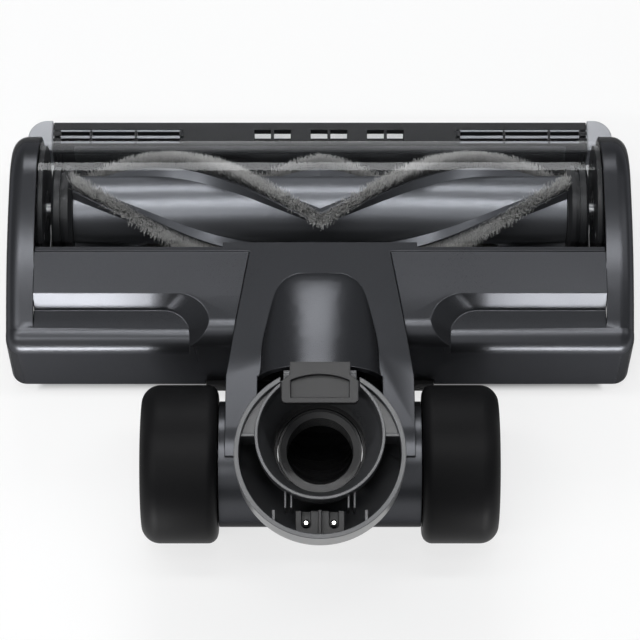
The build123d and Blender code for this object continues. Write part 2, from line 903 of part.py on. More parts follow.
base_housing.part.label = "base_housing"

# Barrel cradle: foot on the chassis floor, brackets, side plates and the half rings under the barrel
with BuildPart() as barrel_cradle:
    with BuildSketch(plan.offset(floor_top)):
        with Locations((0, -sole_rear + cradle_foot)):
            Rectangle(2 * yoke_outer, cradle_foot + cradle_lap, align=(Align.CENTER, Align.MAX))
    extrude(amount=floor_thickness)
    with BuildSketch(plan.offset(floor_height)):
        with Locations((0, -sole_rear - seam)):
            Rectangle(2 * yoke_outer, cowl_end - sole_rear + cradle_lap, align=(Align.CENTER, Align.MAX))
            Rectangle(2 * bracket_half_width, bracket_rear - sole_rear, align=(Align.CENTER, Align.MAX))
    extrude(amount=floor_thickness)
    for sign in (-1, 1):
        with BuildSketch(side.offset(sign * arm_inner)):
            add(yoke_ring())
        extrude(amount=sign * (yoke_outer - arm_inner))
        with BuildSketch(side.offset(sign * (yoke_outer - yoke_plate))):
            add(yoke_web())
        extrude(amount=sign * yoke_plate)
barrel_cradle.part.label = "barrel_cradle"

# Duct from the chamber to the hose: rectangular mouth, round end
with BuildPart() as suction_duct:
    duct_front = chamber_radius + chamber_wall + seam
    duct_round = body_rear
    duct_middle = (duct_low + duct_high) / 2
    inlet = Plane(origin=(0, roller_y - duct_front, duct_middle), x_dir=(1, 0, 0), z_dir=(0, -1, 0))
    outlet = Plane(origin=(0, roller_y - duct_round, barrel_height), x_dir=(1, 0, 0), z_dir=(0, -1, 0))
    for grow, mode in ((duct_wall, Mode.ADD), (0, Mode.SUBTRACT)):
        with BuildSketch(inlet):
            width = 2 * (duct_half_width - seam + grow)
            RectangleRounded(width, duct_high - duct_low + 2 * grow, duct_corner + grow)
        with BuildSketch(outlet):
            Circle(hose_radius + hose_play + grow)
        loft(ruled=True, mode=mode)
        with BuildSketch(outlet):
            Circle(hose_radius + hose_play + grow)
        extrude(amount=duct_end - duct_round, mode=mode)
suction_duct.part.label = "suction_duct"

# Sole plate: flat frame with the brush mouth, the roller windows and the countersunk holes
ear_gap = sole_roller_width / 2 + sole_roller_play
ear_reach = ear_gap + sole_pin_grip
pin_height = sole_roller_radius + sole_roller_lift
sole_axis = Plane(origin=(0, roller_y - sole_roller_setback, pin_height), x_dir=(0, 1, 0), z_dir=(1, 0, 0))
with BuildPart() as sole_plate:
    with BuildSketch(plan.offset(sole_height)):
        with BuildLine():
            Polyline(
                (-chassis_half, -sole_rear),
                (chassis_half, -sole_rear),
                (chassis_half, sole_front),
                (-chassis_half, sole_front),
                close=True,
            )
        make_face()
        with BuildLine():
            Polyline(
                (-mouth_half_width, -mouth_rear),
                (mouth_half_width, -mouth_rear),
                (mouth_half_width, mouth_front),
                (-mouth_half_width, mouth_front),
                close=True,
            )
        make_face(mode=Mode.SUBTRACT)
    extrude(amount=sole_thickness)
    fillet(sole_plate.edges().filter_by(Axis.Z), 3.0)
    with BuildSketch(plan.offset(sole_height)):
        with Locations(sole_roller_places):
            Rectangle(sole_roller_width + 2 * sole_roller_play, 2 * sole_roller_radius + 1.4)
    extrude(amount=sole_thickness, mode=Mode.SUBTRACT)
    with BuildSketch(plan.offset(sole_height - sole_ear_drop)):
        for x, y in sole_roller_places:
            with Locations((x - ear_gap, y)):
                Rectangle(sole_ear_width, sole_ear_depth, align=(Align.MAX, Align.CENTER))
            with Locations((x + ear_gap, y)):
                Rectangle(sole_ear_width, sole_ear_depth, align=(Align.MIN, Align.CENTER))
    extrude(amount=sole_ear_drop + sole_thickness + sole_ear_rise)
    for sign in (-1, 1):
        with BuildSketch(sole_axis.offset(sign * sole_roller_offset - ear_reach)):
            Circle(sole_pin_radius)
        extrude(amount=2 * ear_reach, mode=Mode.SUBTRACT)
    with Locations([plan.offset(sole_height) * Location((x, y, 0), (180, 0, 0)) for x, y in screw_places]):
        CounterSinkHole(screw_radius, screw_head_radius, depth=sole_thickness)
sole_plate.part.label = "sole_plate"

# Soft seal strip behind the mouth
with BuildPart() as sole_seal:
    with BuildSketch(plan.offset(seal_lift)):
        with Locations((0, -seal_setback)):
            Rectangle(2 * (mouth_half_width - seal_end_gap), seal_width)
    extrude(amount=sole_height - seal_lift)
sole_seal.part.label = "sole_seal"

# Glide pads under the front corners
with BuildPart() as glide_pads:
    with BuildSketch(plan):
        with Locations((pad_offset, pad_middle), (-pad_offset, pad_middle)):
            RectangleRounded(pad_length, pad_depth, 3.0)
    extrude(amount=sole_height)
    chamfer(glide_pads.faces().sort_by(Axis.Z)[:2].edges(), 0.8)
glide_pads.part.label = "glide_pads"

# Small rollers in the sole with their pins
def make_sole_roller(sign):
    with BuildPart() as small_roller:
        with BuildSketch(sole_axis.offset(sign * sole_roller_offset - sole_roller_width / 2)):
            Circle(sole_roller_radius)
            Circle(sole_pin_radius + running_gap / 2, mode=Mode.SUBTRACT)
        extrude(amount=sole_roller_width)
        rims = small_roller.edges().filter_by(GeomType.CIRCLE).filter_by(lambda e: e.radius > sole_pin_radius + 1)
        chamfer(rims, 0.8)
    return small_roller


sole_roller_left = make_sole_roller(-1)
sole_roller_left.part.label = "sole_roller_left"
sole_roller_right = make_sole_roller(1)
sole_roller_right.part.label = "sole_roller_right"

with BuildPart() as sole_roller_pins:
    for sign in (-1, 1):
        with BuildSketch(sole_axis.offset(sign * sole_roller_offset - ear_reach)):
            Circle(sole_pin_radius)
        extrude(amount=2 * ear_reach)
sole_roller_pins.part.label = "sole_roller_pins"


# Countersunk screws of the sole
with BuildPart() as sole_screws:
    for x, y in screw_places:
        with BuildSketch(plan.offset(sole_height)):
            with Locations((x, y)):
                Circle(screw_head_radius - 0.1)
        with BuildSketch(plan.offset(sole_height + screw_head_radius - screw_radius)):
            with Locations((x, y)):
                Circle(screw_radius - 0.1)
        loft()
        with BuildSketch(plan.offset(sole_height)):
            with Locations((x, y)):
                Circle(screw_radius - 0.1)
        extrude(amount=boss_height)
        with BuildSketch(plan.offset(sole_height)):
            with Locations((x, y)):
                Rectangle(3.2, 0.7)
                Rectangle(0.7, 3.2)
        extrude(amount=1.0, mode=Mode.SUBTRACT)
sole_screws.part.label = "sole_screws"


# Inner plate of a cheek with the bearing seat
def make_end_plate(sign):
    reach = window_radius - window_thickness - 2 * seam
    with BuildPart() as plate:
        with BuildSketch(roller.offset(sign * plate_inner)):
            Circle(reach)
            with Locations((-window_radius, floor_height - roller_height)):
                Rectangle(3 * window_radius, window_radius, align=(Align.MIN, Align.MAX), mode=Mode.SUBTRACT)
        extrude(amount=sign * plate_thickness)
        with BuildSketch(roller.offset(sign * plate_inner)):
            Circle(bearing_radius + seat_wall)
        extrude(amount=sign * bearing_width)
        with BuildSketch(roller.offset(sign * plate_inner)):
            Circle(bearing_radius)
        extrude(amount=sign * bearing_width, mode=Mode.SUBTRACT)
        with BuildSketch(roller.offset(sign * plate_inner)):
            with PolarLocations((reach + bearing_radius) / 2 + 1.0, vent_count, start_angle=30):
                Circle(vent_radius)
        extrude(amount=sign * plate_thickness / 2, mode=Mode.SUBTRACT)
    return plate


end_plate_left = make_end_plate(-1)
end_plate_left.part.label = "end_plate_left"
end_plate_right = make_end_plate(1)
end_plate_right.part.label = "end_plate_right"

with BuildPart() as roller_bearings:
    for sign in (-1, 1):
        with BuildSketch(roller.offset(sign * plate_inner)):
            Circle(bearing_radius)
            Circle(shaft_radius + running_gap / 2, mode=Mode.SUBTRACT)
        extrude(amount=sign * bearing_width)
roller_bearings.part.label = "roller_bearings"

# Motor in the left bay, its strap and the belt in the left cheek
motor_end = motor_inner_end + motor_length - motor_boss_length
with BuildPart() as brush_motor:
    with BuildSketch(motor.offset(-motor_inner_end)):
        Circle(motor_radius)
    extrude(amount=-(motor_length - motor_boss_length))
    chamfer(brush_motor.edges().filter_by(GeomType.CIRCLE), 0.8)
    with BuildSketch(motor.offset(-motor_end)):
        Circle(motor_boss_radius)
    extrude(amount=-motor_boss_length)
    with BuildSketch(motor.offset(-motor_end - motor_boss_length)):
        Circle(motor_shaft_radius + running_gap / 2)
    extrude(amount=motor_bore_depth, mode=Mode.SUBTRACT)
    with BuildSketch(motor.offset(-motor_inner_end)):
        with Locations((terminal_offset, 0), (-terminal_offset, 0)):
            Rectangle(0.8, terminal_height)
    extrude(amount=terminal_height)
brush_motor.part.label = "brush_motor"

with BuildPart() as motor_clamp:
    with BuildSketch(motor.offset(-motor_inner_end - motor_length / 2 - clamp_width / 2)):
        Circle(motor_radius + clamp_thickness)
        legs = motor_height - floor_top
        with Locations((0, 0)):
            Rectangle(2 * (motor_radius + clamp_thickness), legs, align=(Align.CENTER, Align.MAX))
        with Locations((0, -legs)):
            Rectangle(
                2 * (motor_radius + clamp_thickness + clamp_foot), clamp_thickness, align=(Align.CENTER, Align.MIN)
            )
        Circle(motor_radius + 0.02, mode=Mode.SUBTRACT)
        Rectangle(2 * (motor_radius + 0.02), legs, align=(Align.CENTER, Align.MAX), mode=Mode.SUBTRACT)
    extrude(amount=clamp_width)
motor_clamp.part.label = "motor_clamp"


# Outline of a belt round both pulleys, at a distance from their rims
def belt_outline(distance):
    big = roller_pulley_radius + distance
    small = motor_pulley_radius + distance
    heading = 180 + degrees(atan2(roller_height - motor_height, motor_setback))
    spread = degrees(acos((big - small) / hypot(motor_setback, roller_height - motor_height)))
    big_centre = (0, roller_height)
    small_centre = (-motor_setback, motor_height)
    with BuildSketch() as outline:
        with Locations(big_centre):
            Circle(big)
        with Locations(small_centre):
            Circle(small)
        with BuildLine():
            Polyline(
                polar(big, heading - spread, big_centre),
                polar(big, heading + spread, big_centre),
                polar(small, heading + spread, small_centre),
                polar(small, heading - spread, small_centre),
                close=True,
            )
        make_face()
    return outline.sketch


belt_width = pulley_width - 2.0
with BuildPart() as drive_belt:
    with BuildSketch(side.offset(-pulley_inner - pulley_width / 2 - belt_width / 2)):
        add(belt_outline(0.2 + belt_thickness))
        add(belt_outline(0.2), mode=Mode.SUBTRACT)
    extrude(amount=belt_width)
drive_belt.part.label = "drive_belt"

# Circuit board in the right bay
with BuildPart() as control_board:
    with BuildSketch(plan.offset(floor_top + board_lift)):
        with Locations((board_centre, -board_setback)):
            Rectangle(board_length, board_depth)
    extrude(amount=board_thickness)
    parts_on_board = ((-12.0, 2.0, 9.0, 9.0, 2.0), (4.0, -3.0, 6.0, 12.0, 5.0), (15.0, 4.0, 7.0, 7.0, 8.0))
    for x, y, length, depth, height in parts_on_board:
        with BuildSketch(plan.offset(floor_top + board_lift + board_thickness)):
            with Locations((board_centre + x, -board_setback + y)):
                Rectangle(length, depth)
        extrude(amount=height)
control_board.part.label = "control_board"

# Rear barrel with the lower neck tube
with BuildPart() as neck_barrel:
    with BuildSketch(barrel):
        Circle(barrel_radius)
    extrude(amount=barrel_half_length, both=True)
    with BuildSketch(neck):
        Circle(neck_tube_radius)
    extrude(amount=neck_tube_end)
    with BuildSketch(barrel):
        Circle(barrel_radius - barrel_wall)
    extrude(amount=barrel_half_length - barrel_wall, both=True, mode=Mode.SUBTRACT)
    with BuildSketch(neck):
        Circle(neck_tube_radius - neck_tube_wall)
    extrude(amount=neck_tube_end, mode=Mode.SUBTRACT)
    with BuildSketch(barrel):
        with BuildLine():
            fan = 1.6 * barrel_radius
            Polyline((0, 0), polar(fan, -95), polar(fan, -45), polar(fan, 5), polar(fan, 50), close=True)
        make_face()
    extrude(amount=barrel_slot_half_width, both=True, mode=Mode.SUBTRACT)
    for sign in (-1, 1):
        with BuildSketch(barrel.offset(sign * (barrel_half_length - axle_grip))):
            Circle(axle_radius + axle_boss_wall)
        extrude(amount=sign * axle_grip)
    with BuildSketch(barrel):
        Circle(axle_radius)
    extrude(amount=barrel_half_length, both=True, mode=Mode.SUBTRACT)
neck_barrel.part.label = "neck_barrel"

with BuildPart() as wheel_axles:
    for sign in (-1, 1):
        with BuildSketch(barrel.offset(sign * (barrel_half_length - axle_grip))):
            Circle(axle_radius)
        extrude(amount=sign * (wheel_outer - axle_end_gap - barrel_half_length + axle_grip))
wheel_axles.part.label = "wheel_axles"


# Wheels: round-shouldered tyre on a ribbed hub, closed by a cap
def wheel_section(sign):
    return Plane(barrel.origin, x_dir=(sign, 0, 0), z_dir=(0, -sign, 0))


def make_tyre(sign):
    bore = wheel_radius - tyre_thickness
    flat_start = wheel_inner + tyre_inner_round
    flat_end = wheel_outer - tyre_outer_round
    outer_shoulder = (wheel_outer, wheel_radius - tyre_outer_drop)
    inner_shoulder = (wheel_inner, wheel_radius - tyre_inner_drop)
    with BuildPart() as tyre:
        with BuildSketch(wheel_section(sign)):
            with BuildLine():
                Line((flat_start, wheel_radius), (flat_end, wheel_radius))
                TangentArc((flat_end, wheel_radius), outer_shoulder, tangent=(1, 0))
                Polyline(outer_shoulder, (wheel_outer, bore), (wheel_inner, bore), inner_shoulder)
                TangentArc((flat_start, wheel_radius), inner_shoulder, tangent=(-1, 0))
            make_face()
        revolve(axis=Axis(barrel.origin, (1, 0, 0)))
    return tyre


def make_hub(sign):
    rim = wheel_radius - tyre_thickness - 0.05
    boss = axle_radius + axle_boss_wall
    with BuildPart() as hub:
        with BuildSketch(barrel.offset(sign * wheel_inner)):
            Circle(rim)
            Circle(rim - wall, mode=Mode.SUBTRACT)
        extrude(amount=sign * (wheel_width - cap_thickness))
        with BuildSketch(barrel.offset(sign * wheel_inner)):
            Circle(boss)
        extrude(amount=sign * (wheel_width - 2 * cap_thickness))
        with BuildSketch(barrel.offset(sign * wheel_inner)):
            Circle(rim - wall / 2)
        extrude(amount=sign * wall)
        with BuildSketch(barrel.offset(sign * wheel_inner)):
            with PolarLocations((boss + rim - wall) / 2, spoke_count):
                Rectangle(rim - wall - boss + 2.0, wall)
        extrude(amount=sign * (wheel_width - 2 * cap_thickness))
        with BuildSketch(barrel.offset(sign * wheel_inner)):
            Circle(axle_radius + running_gap / 2)
        extrude(amount=sign * wheel_width, mode=Mode.SUBTRACT)
    return hub


def make_hub_cap(sign):
    with BuildPart() as cap:
        with BuildSketch(barrel.offset(sign * (wheel_outer - cap_thickness))):
            Circle(wheel_radius - tyre_thickness - 0.05)
        extrude(amount=sign * cap_thickness)
        outer = cap.faces().sort_by(Axis.X)[-1 if sign > 0 else 0]
        chamfer(outer.edges(), 0.8)
        with BuildSketch(barrel.offset(sign * wheel_outer)):
            Circle(cap_dish_radius)
        extrude(amount=-sign * cap_thickness / 2, mode=Mode.SUBTRACT)
    return cap


tyre_left = make_tyre(-1)
tyre_left.part.label = "tyre_left"
tyre_right = make_tyre(1)
tyre_right.part.label = "tyre_right"
wheel_hub_left = make_hub(-1)
wheel_hub_left.part.label = "wheel_hub_left"
wheel_hub_right = make_hub(1)
wheel_hub_right.part.label = "wheel_hub_right"
hub_cap_left = make_hub_cap(-1)
hub_cap_left.part.label = "hub_cap_left"
hub_cap_right = make_hub_cap(1)
hub_cap_right.part.label = "hub_cap_right"

# Cuff that holds the hose in the neck tube
cuff_outer = neck_tube_radius - neck_tube_wall
with BuildPart() as hose_cuff:
    with BuildSketch(neck.offset(hose_end - cuff_length)):
        Circle(cuff_outer - 0.05)
        Circle(hose_radius + 0.25, mode=Mode.SUBTRACT)
    extrude(amount=cuff_length)
hose_cuff.part.label = "hose_cuff"

# Corrugated hose: from the duct round the barrel's axis and up the neck
hose_start = duct_end - hose_socket
neck_tip = neck.origin + neck.z_dir * hose_end
with BuildPart() as inner_hose:
    with BuildLine() as hose_route:
        FilletPolyline(
            (0, roller_y - hose_start, barrel_height),
            tuple(barrel.origin),
            tuple(neck_tip),
            radius=hose_bend_radius,
        )
    route = hose_route.wire()
    with BuildSketch(Plane(route @ 0, z_dir=route % 0)):
        Circle(hose_radius - hose_rib_depth)
    sweep(path=route)
    rib_count = int(route.length / hose_rib_pitch)
    for index in range(rib_count):
        share = (index + 0.5) / rib_count
        with BuildSketch(Plane(route @ share, z_dir=route % share).offset(-hose_rib_pitch / 4)):
            Circle(hose_radius)
        extrude(amount=hose_rib_pitch / 2)
    with BuildSketch(Plane(route @ 0, z_dir=route % 0)):
        Circle(hose_radius - hose_rib_depth - hose_wall)
    sweep(path=route, mode=Mode.SUBTRACT)
inner_hose.part.label = "inner_hose"

# Neck cup: eccentric outer wall, inner ring, the crescent pocket between them and the collar
cup_centre = (0, -cup_drop)
collar_bore = neck_tube_radius + running_gap
shelf = neck_tube_end + free_gap
with BuildPart() as neck_cup:
    with BuildSketch(neck.offset(shelf)):
        Circle(collar_radius)
    with BuildSketch(neck.offset(cup_full_from)):
        with Locations(cup_centre):
            Circle(cup_radius)
    loft(ruled=True)
    with BuildSketch(neck.offset(cup_full_from)):
        with Locations(cup_centre):
            Circle(cup_radius)
    extrude(amount=cup_mouth - cup_full_from)
    with BuildSketch(neck.offset(collar_start)):
        Circle(collar_radius)
    extrude(amount=shelf - collar_start)
    # crescent pocket
    with BuildSketch(neck.offset(shelf + cup_floor)):
        Circle(collar_radius - cup_wall)
    with BuildSketch(neck.offset(cup_full_from + cup_wall)):
        with Locations(cup_centre):
            Circle(cup_radius - cup_wall)
    loft(ruled=True, mode=Mode.SUBTRACT)
    with BuildSketch(neck.offset(cup_full_from + cup_wall)):
        with Locations(cup_centre):
            Circle(cup_radius - cup_wall)
    extrude(amount=cup_mouth - cup_full_from, mode=Mode.SUBTRACT)
    # inner ring, a cone that opens to a straight mouth
    with BuildSketch(neck.offset(shelf)):
        Circle(throat_radius + ring_wall)
    extrude(amount=throat_length)
    with BuildSketch(neck.offset(shelf + throat_length)):
        Circle(throat_radius + ring_wall)
    with BuildSketch(neck.offset(ring_straight_from)):
        Circle(ring_radius)
    loft(ruled=True)
    with BuildSketch(neck.offset(ring_straight_from)):
        Circle(ring_radius)
    extrude(amount=cup_mouth - ring_straight_from)
    # shelf above the side webs, then the webs and ribs of the lower pocket
    with BuildSketch(neck.offset(cup_full_from)):
        with Locations(cup_centre):
            Circle(cup_radius - cup_wall / 2)
        with Locations((0, -pocket_rib / 2)):
            Rectangle(3 * cup_radius, 3 * cup_radius, align=(Align.CENTER, Align.MAX), mode=Mode.SUBTRACT)
        Circle(ring_radius - ring_wall / 2, mode=Mode.SUBTRACT)
    extrude(amount=cup_mouth - shelf_depth - cup_full_from)
    web_reach = (ring_radius + cup_radius) / 2 - ring_wall
    with BuildSketch(neck.offset(cup_full_from)):
        with Locations((web_reach, 0), (-web_reach, 0)):
            Rectangle(web_length, pocket_rib)
        with Locations(cup_centre):
            Circle(cup_radius - cup_wall / 2, mode=Mode.INTERSECT)
    extrude(amount=cup_mouth - web_depth - cup_full_from)
    with BuildSketch(neck.offset(cup_full_from)):
        with Locations((pocket_rib_offset, -pocket_rib_inner), (-pocket_rib_offset, -pocket_rib_inner)):
            Rectangle(pocket_rib, pocket_rib_depth, align=(Align.CENTER, Align.MAX))
        with Locations([(sign * place, -thin_rib_outer) for sign in (-1, 1) for place in thin_rib_places]):
            Rectangle(thin_rib, thin_rib_length, align=(Align.CENTER, Align.MIN))
        with Locations(cup_centre):
            Circle(cup_radius - cup_wall / 2, mode=Mode.INTERSECT)
    extrude(amount=cup_mouth - rib_drop - cup_full_from)
    # bores
    with BuildSketch(neck.offset(shelf)):
        Circle(throat_radius)
    extrude(amount=throat_length, mode=Mode.SUBTRACT)
    with BuildSketch(neck.offset(shelf + throat_length)):
        Circle(throat_radius)
    with BuildSketch(neck.offset(ring_straight_from)):
        Circle(ring_radius - ring_wall)
    loft(ruled=True, mode=Mode.SUBTRACT)
    with BuildSketch(neck.offset(ring_straight_from)):
        Circle(ring_radius - ring_wall)
    extrude(amount=cup_mouth - ring_straight_from, mode=Mode.SUBTRACT)
    with BuildSketch(neck.offset(collar_start)):
        Circle(collar_bore)
    extrude(amount=shelf - collar_start, mode=Mode.SUBTRACT)
    # notch for the latch frame
    with BuildSketch(neck.offset(cup_mouth - notch_depth)):
        with Locations((0, latch_frame_low)):
            Rectangle(2 * (latch_frame_half_width + free_gap), 2 * cup_radius, align=(Align.CENTER, Align.MIN))
    extrude(amount=notch_depth, mode=Mode.SUBTRACT)
    # shallow channel for the lever
    ear_inner = latch_half_width + seam
    channel_floor = latch_pivot_height - latch_boss_radius - free_gap
    with BuildSketch(neck.offset(latch_pivot_length - ear_half_length)):
        with Locations((0, channel_floor)):
            Rectangle(2 * ear_inner, cup_drop, align=(Align.CENTER, Align.MIN))
    extrude(amount=cup_mouth - latch_pivot_length, mode=Mode.SUBTRACT)
    # ears for the latch pin
    ear_root = latch_pivot_height - ear_height
    for sign in (-1, 1):
        with BuildSketch(latch_side.offset(sign * ear_inner)):
            with Locations((latch_pivot_height, latch_pivot_length)):
                Circle(ear_radius)
            with BuildLine():
                Polyline(
                    (latch_pivot_height, latch_pivot_length + ear_radius),
                    (latch_pivot_height, latch_pivot_length - ear_radius),
                    (ear_root, latch_pivot_length - ear_half_length),
                    (ear_root, latch_pivot_length + ear_half_length),
                    close=True,
                )
            make_face()
        extrude(amount=sign * ear_width)
    with BuildSketch(latch_side):
        with Locations((latch_pivot_height, latch_pivot_length)):
            Circle(latch_pin_radius)
    extrude(amount=ear_inner + ear_width, both=True, mode=Mode.SUBTRACT)
neck_cup.part.label = "neck_cup"

# Release latch: lever, thumb tab and hook frame in one moulding
with BuildPart() as release_latch:
    lever_outer = latch_pivot_height + latch_tab_thickness / 2
    lever_inner = lever_outer - latch_tab_thickness
    with BuildSketch(latch_side):
        with Locations((lever_inner, latch_pivot_length)):
            Rectangle(latch_tab_thickness, latch_top - latch_pivot_length, align=(Align.MIN, Align.MIN))
        with Locations((latch_pivot_height, latch_pivot_length)):
            Circle(latch_boss_radius)
            Circle(latch_pin_radius + running_gap / 2, mode=Mode.SUBTRACT)
    extrude(amount=latch_half_width, both=True)
    with BuildSketch(neck.offset(latch_top - latch_frame_depth)):
        with BuildLine():
            Polyline(
                (latch_frame_half_width, latch_frame_low),
                (latch_frame_half_width, latch_shoulder_low),
                (latch_half_width, latch_shoulder_high),
                (latch_half_width, lever_outer),
                (-latch_half_width, lever_outer),
                (-latch_half_width, latch_shoulder_high),
                (-latch_frame_half_width, latch_shoulder_low),
                (-latch_frame_half_width, latch_frame_low),
                close=True,
            )
        frame_outline = make_face()
        fillet(frame_outline.vertices().group_by(Axis.Y)[0], latch_corner_round)
        fillet(frame_outline.vertices().group_by(Axis.Y)[-1], latch_tab_round)
    extrude(amount=latch_frame_depth)
    # arched window with a recessed face
    with BuildSketch(neck.offset(latch_top - latch_face_depth)):
        with BuildLine():
            Polyline(
                (latch_window_half_width, latch_window_side),
                (latch_window_half_width, latch_frame_low + latch_bar),
                (-latch_window_half_width, latch_frame_low + latch_bar),
                (-latch_window_half_width, latch_window_side),
            )
            ThreePointArc(
                (-latch_window_half_width, latch_window_side),
                (0, latch_window_top),
                (latch_window_half_width, latch_window_side),
            )
        make_face()
    extrude(amount=latch_face_depth, mode=Mode.SUBTRACT)
    # tapered hook under the frame
    with BuildSketch(neck.offset(latch_top - latch_frame_depth)):
        with Locations((0, latch_frame_low)):
            Rectangle(2 * latch_half_width, latch_hook_depth, align=(Align.CENTER, Align.MIN))
    extrude(amount=-latch_hook_length, taper=latch_hook_taper)
release_latch.part.label = "release_latch"

with BuildPart() as latch_pin:
    with BuildSketch(latch_side):
        with Locations((latch_pivot_height, latch_pivot_length)):
            Circle(latch_pin_radius)
    extrude(amount=ear_inner + ear_width, both=True)
latch_pin.part.label = "latch_pin"

# Contact block in the lower pocket, with its two pins
with BuildPart() as contact_block:
    with BuildSketch(neck.offset(contact_block_top - contact_block_depth)):
        with Locations((0, -contact_block_inner)):
            Rectangle(2 * contact_block_half_width, 2 * cup_drop, align=(Align.CENTER, Align.MAX))
        with Locations(cup_centre):
            Circle(cup_radius - cup_wall - seam, mode=Mode.INTERSECT)
    extrude(amount=contact_block_depth)
    with BuildSketch(neck.offset(contact_block_top)):
        with Locations((0, -contact_block_inner)):
            Rectangle(pocket_rib, 2 * cup_drop, align=(Align.CENTER, Align.MAX))
        with Locations(cup_centre):
            Circle(cup_radius - cup_wall - seam, mode=Mode.INTERSECT)
    extrude(amount=contact_slot_depth)
    with BuildSketch(neck.offset(contact_block_top - contact_slot_depth)):
        for sign in (-1, 1):
            with Locations((sign * contact_spread, -contact_block_inner)):
                Rectangle(2 * contact_pin_radius + 0.8, contact_drop - contact_block_inner, align=(Align.CENTER, Align.MAX))
            with Locations((sign * contact_spread, -contact_drop)):
                Circle(contact_pin_radius + 0.4)
    extrude(amount=contact_slot_depth, mode=Mode.SUBTRACT)
contact_block.part.label = "contact_block"

with BuildPart() as contact_pins:
    with BuildSketch(neck.offset(contact_block_top - contact_slot_depth)):
        with Locations((contact_spread, -contact_drop), (-contact_spread, -contact_drop)):
            Circle(contact_pin_radius)
    extrude(amount=2 * contact_slot_depth - 0.6)
    pin_tops = contact_pins.faces().sort_by(Axis(neck.origin, neck.z_dir))[-2:]
    chamfer(pin_tops.edges(), contact_pin_radius / 2)
contact_pins.part.label = "contact_pins"

# Every piece to its own file
pieces = (
    cover_left,
    cover_right,
    saddle_cover,
    brush_window,
    front_bar,
    corner_bumper_left,
    corner_bumper_right,
    base_housing,
    barrel_cradle,
    suction_duct,
    sole_plate,
    sole_seal,
    glide_pads,
    sole_roller_left,
    sole_roller_right,
    sole_roller_pins,
    sole_screws,
    end_plate_left,
    end_plate_right,
    roller_bearings,
    brush_motor,
    motor_clamp,
    motor_shaft,
    motor_pulley,
    drive_belt,
    control_board,
    roller_drum,
    bristle_strips,
    end_disc_left,
    end_disc_right,
    roller_shaft,
    roller_pulley,
    neck_barrel,
    wheel_axles,
    hose_cuff,
    inner_hose,
    tyre_left,
    tyre_right,
    wheel_hub_left,
    wheel_hub_right,
    hub_cap_left,
    hub_cap_right,
    neck_cup,
    release_latch,
    latch_pin,
    contact_block,
    contact_pins,
)
for piece in pieces:
    export_step(piece.part, f"parts/{piece.part.label}.step")
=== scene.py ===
# %% [markdown]
# The floor head of a stick vacuum, dressed in Blender. The imported CAD model is the fixed frame: every
# rigid moulding, wheel and shaft already has its real shape and place there. This lesson gives each of
# them its finish, and adds what a CAD solid can't show, such as thousands of soft nylon bristles and a
# corrugated hose. All lengths are metres, in the frame's own axes.

import json
import math
import random

import bmesh
import bpy
from mathutils import Matrix, Vector, noise


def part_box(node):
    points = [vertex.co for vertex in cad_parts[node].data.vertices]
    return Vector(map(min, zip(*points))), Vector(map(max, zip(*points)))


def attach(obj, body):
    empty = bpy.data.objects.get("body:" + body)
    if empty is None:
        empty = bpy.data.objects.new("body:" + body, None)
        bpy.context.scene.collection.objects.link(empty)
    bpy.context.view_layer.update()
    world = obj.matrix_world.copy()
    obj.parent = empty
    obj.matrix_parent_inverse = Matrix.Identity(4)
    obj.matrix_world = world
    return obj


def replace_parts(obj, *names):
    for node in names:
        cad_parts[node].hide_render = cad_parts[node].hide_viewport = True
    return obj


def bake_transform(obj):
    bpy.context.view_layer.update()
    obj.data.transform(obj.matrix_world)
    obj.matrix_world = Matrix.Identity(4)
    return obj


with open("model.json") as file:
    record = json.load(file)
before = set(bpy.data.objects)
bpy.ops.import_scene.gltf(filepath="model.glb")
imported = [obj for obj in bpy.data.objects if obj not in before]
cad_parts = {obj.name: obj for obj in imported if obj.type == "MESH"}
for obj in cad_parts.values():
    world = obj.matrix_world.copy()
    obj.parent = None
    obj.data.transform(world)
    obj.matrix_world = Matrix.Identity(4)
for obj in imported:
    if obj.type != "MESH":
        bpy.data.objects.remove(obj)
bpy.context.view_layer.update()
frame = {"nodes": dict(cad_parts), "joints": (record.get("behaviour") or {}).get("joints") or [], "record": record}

# %% [markdown]
# Some places come straight from the frame. The roller's axis is the middle of the drum's box, the
# barrel's axis is the pitch joint's, and the neck's own direction is the turn joint's axis.

# %% Places read from the frame
drum_low, drum_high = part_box("roller_drum")
roller_axis = (drum_low + drum_high) / 2
joints = {joint["name"]: joint for joint in frame["joints"]}
barrel_axis = Vector(joints["neck_pitch"]["pos_m"])
neck_direction = Vector(joints["neck_turn"]["axis"]).normalized()
print("roller axis", roller_axis, "barrel axis", barrel_axis)

# %% [markdown]
# The photograph was taken from behind the head and well above it, through a long lens: the head's far
# edge is hardly smaller than its near one. So the camera stands far away, and the lens is worked out
# from how much of the head one pixel covers at the roller's axis.

# %% Camera
view_elevation = math.radians(65)
view_distance = 1.3
metres_per_pixel = 0.000409
image_pixels = 640
roller_pixel_y = 210
sensor_width = 0.036

view_back = Vector((0, -math.cos(view_elevation), math.sin(view_elevation)))
view_up = Vector((0, math.sin(view_elevation), math.cos(view_elevation)))
view_centre = roller_axis + view_up * metres_per_pixel * (roller_pixel_y - image_pixels / 2)
view_centre.x = 0
camera_data = bpy.data.cameras.new("camera")
camera_data.sensor_width = sensor_width * 1000
camera_data.lens = camera_data.sensor_width * view_distance / (metres_per_pixel * image_pixels)
camera_data.clip_start, camera_data.clip_end = 0.05, 20
camera = bpy.data.objects.new("camera", camera_data)
camera.location = view_centre + view_back * view_distance
camera.rotation_euler = view_back.to_track_quat("Z", "Y").to_euler()
bpy.context.scene.collection.objects.link(camera)
bpy.context.scene.camera = camera
bpy.context.scene.view_settings.view_transform = "Standard"
print("lens", round(camera_data.lens, 1), "mm")

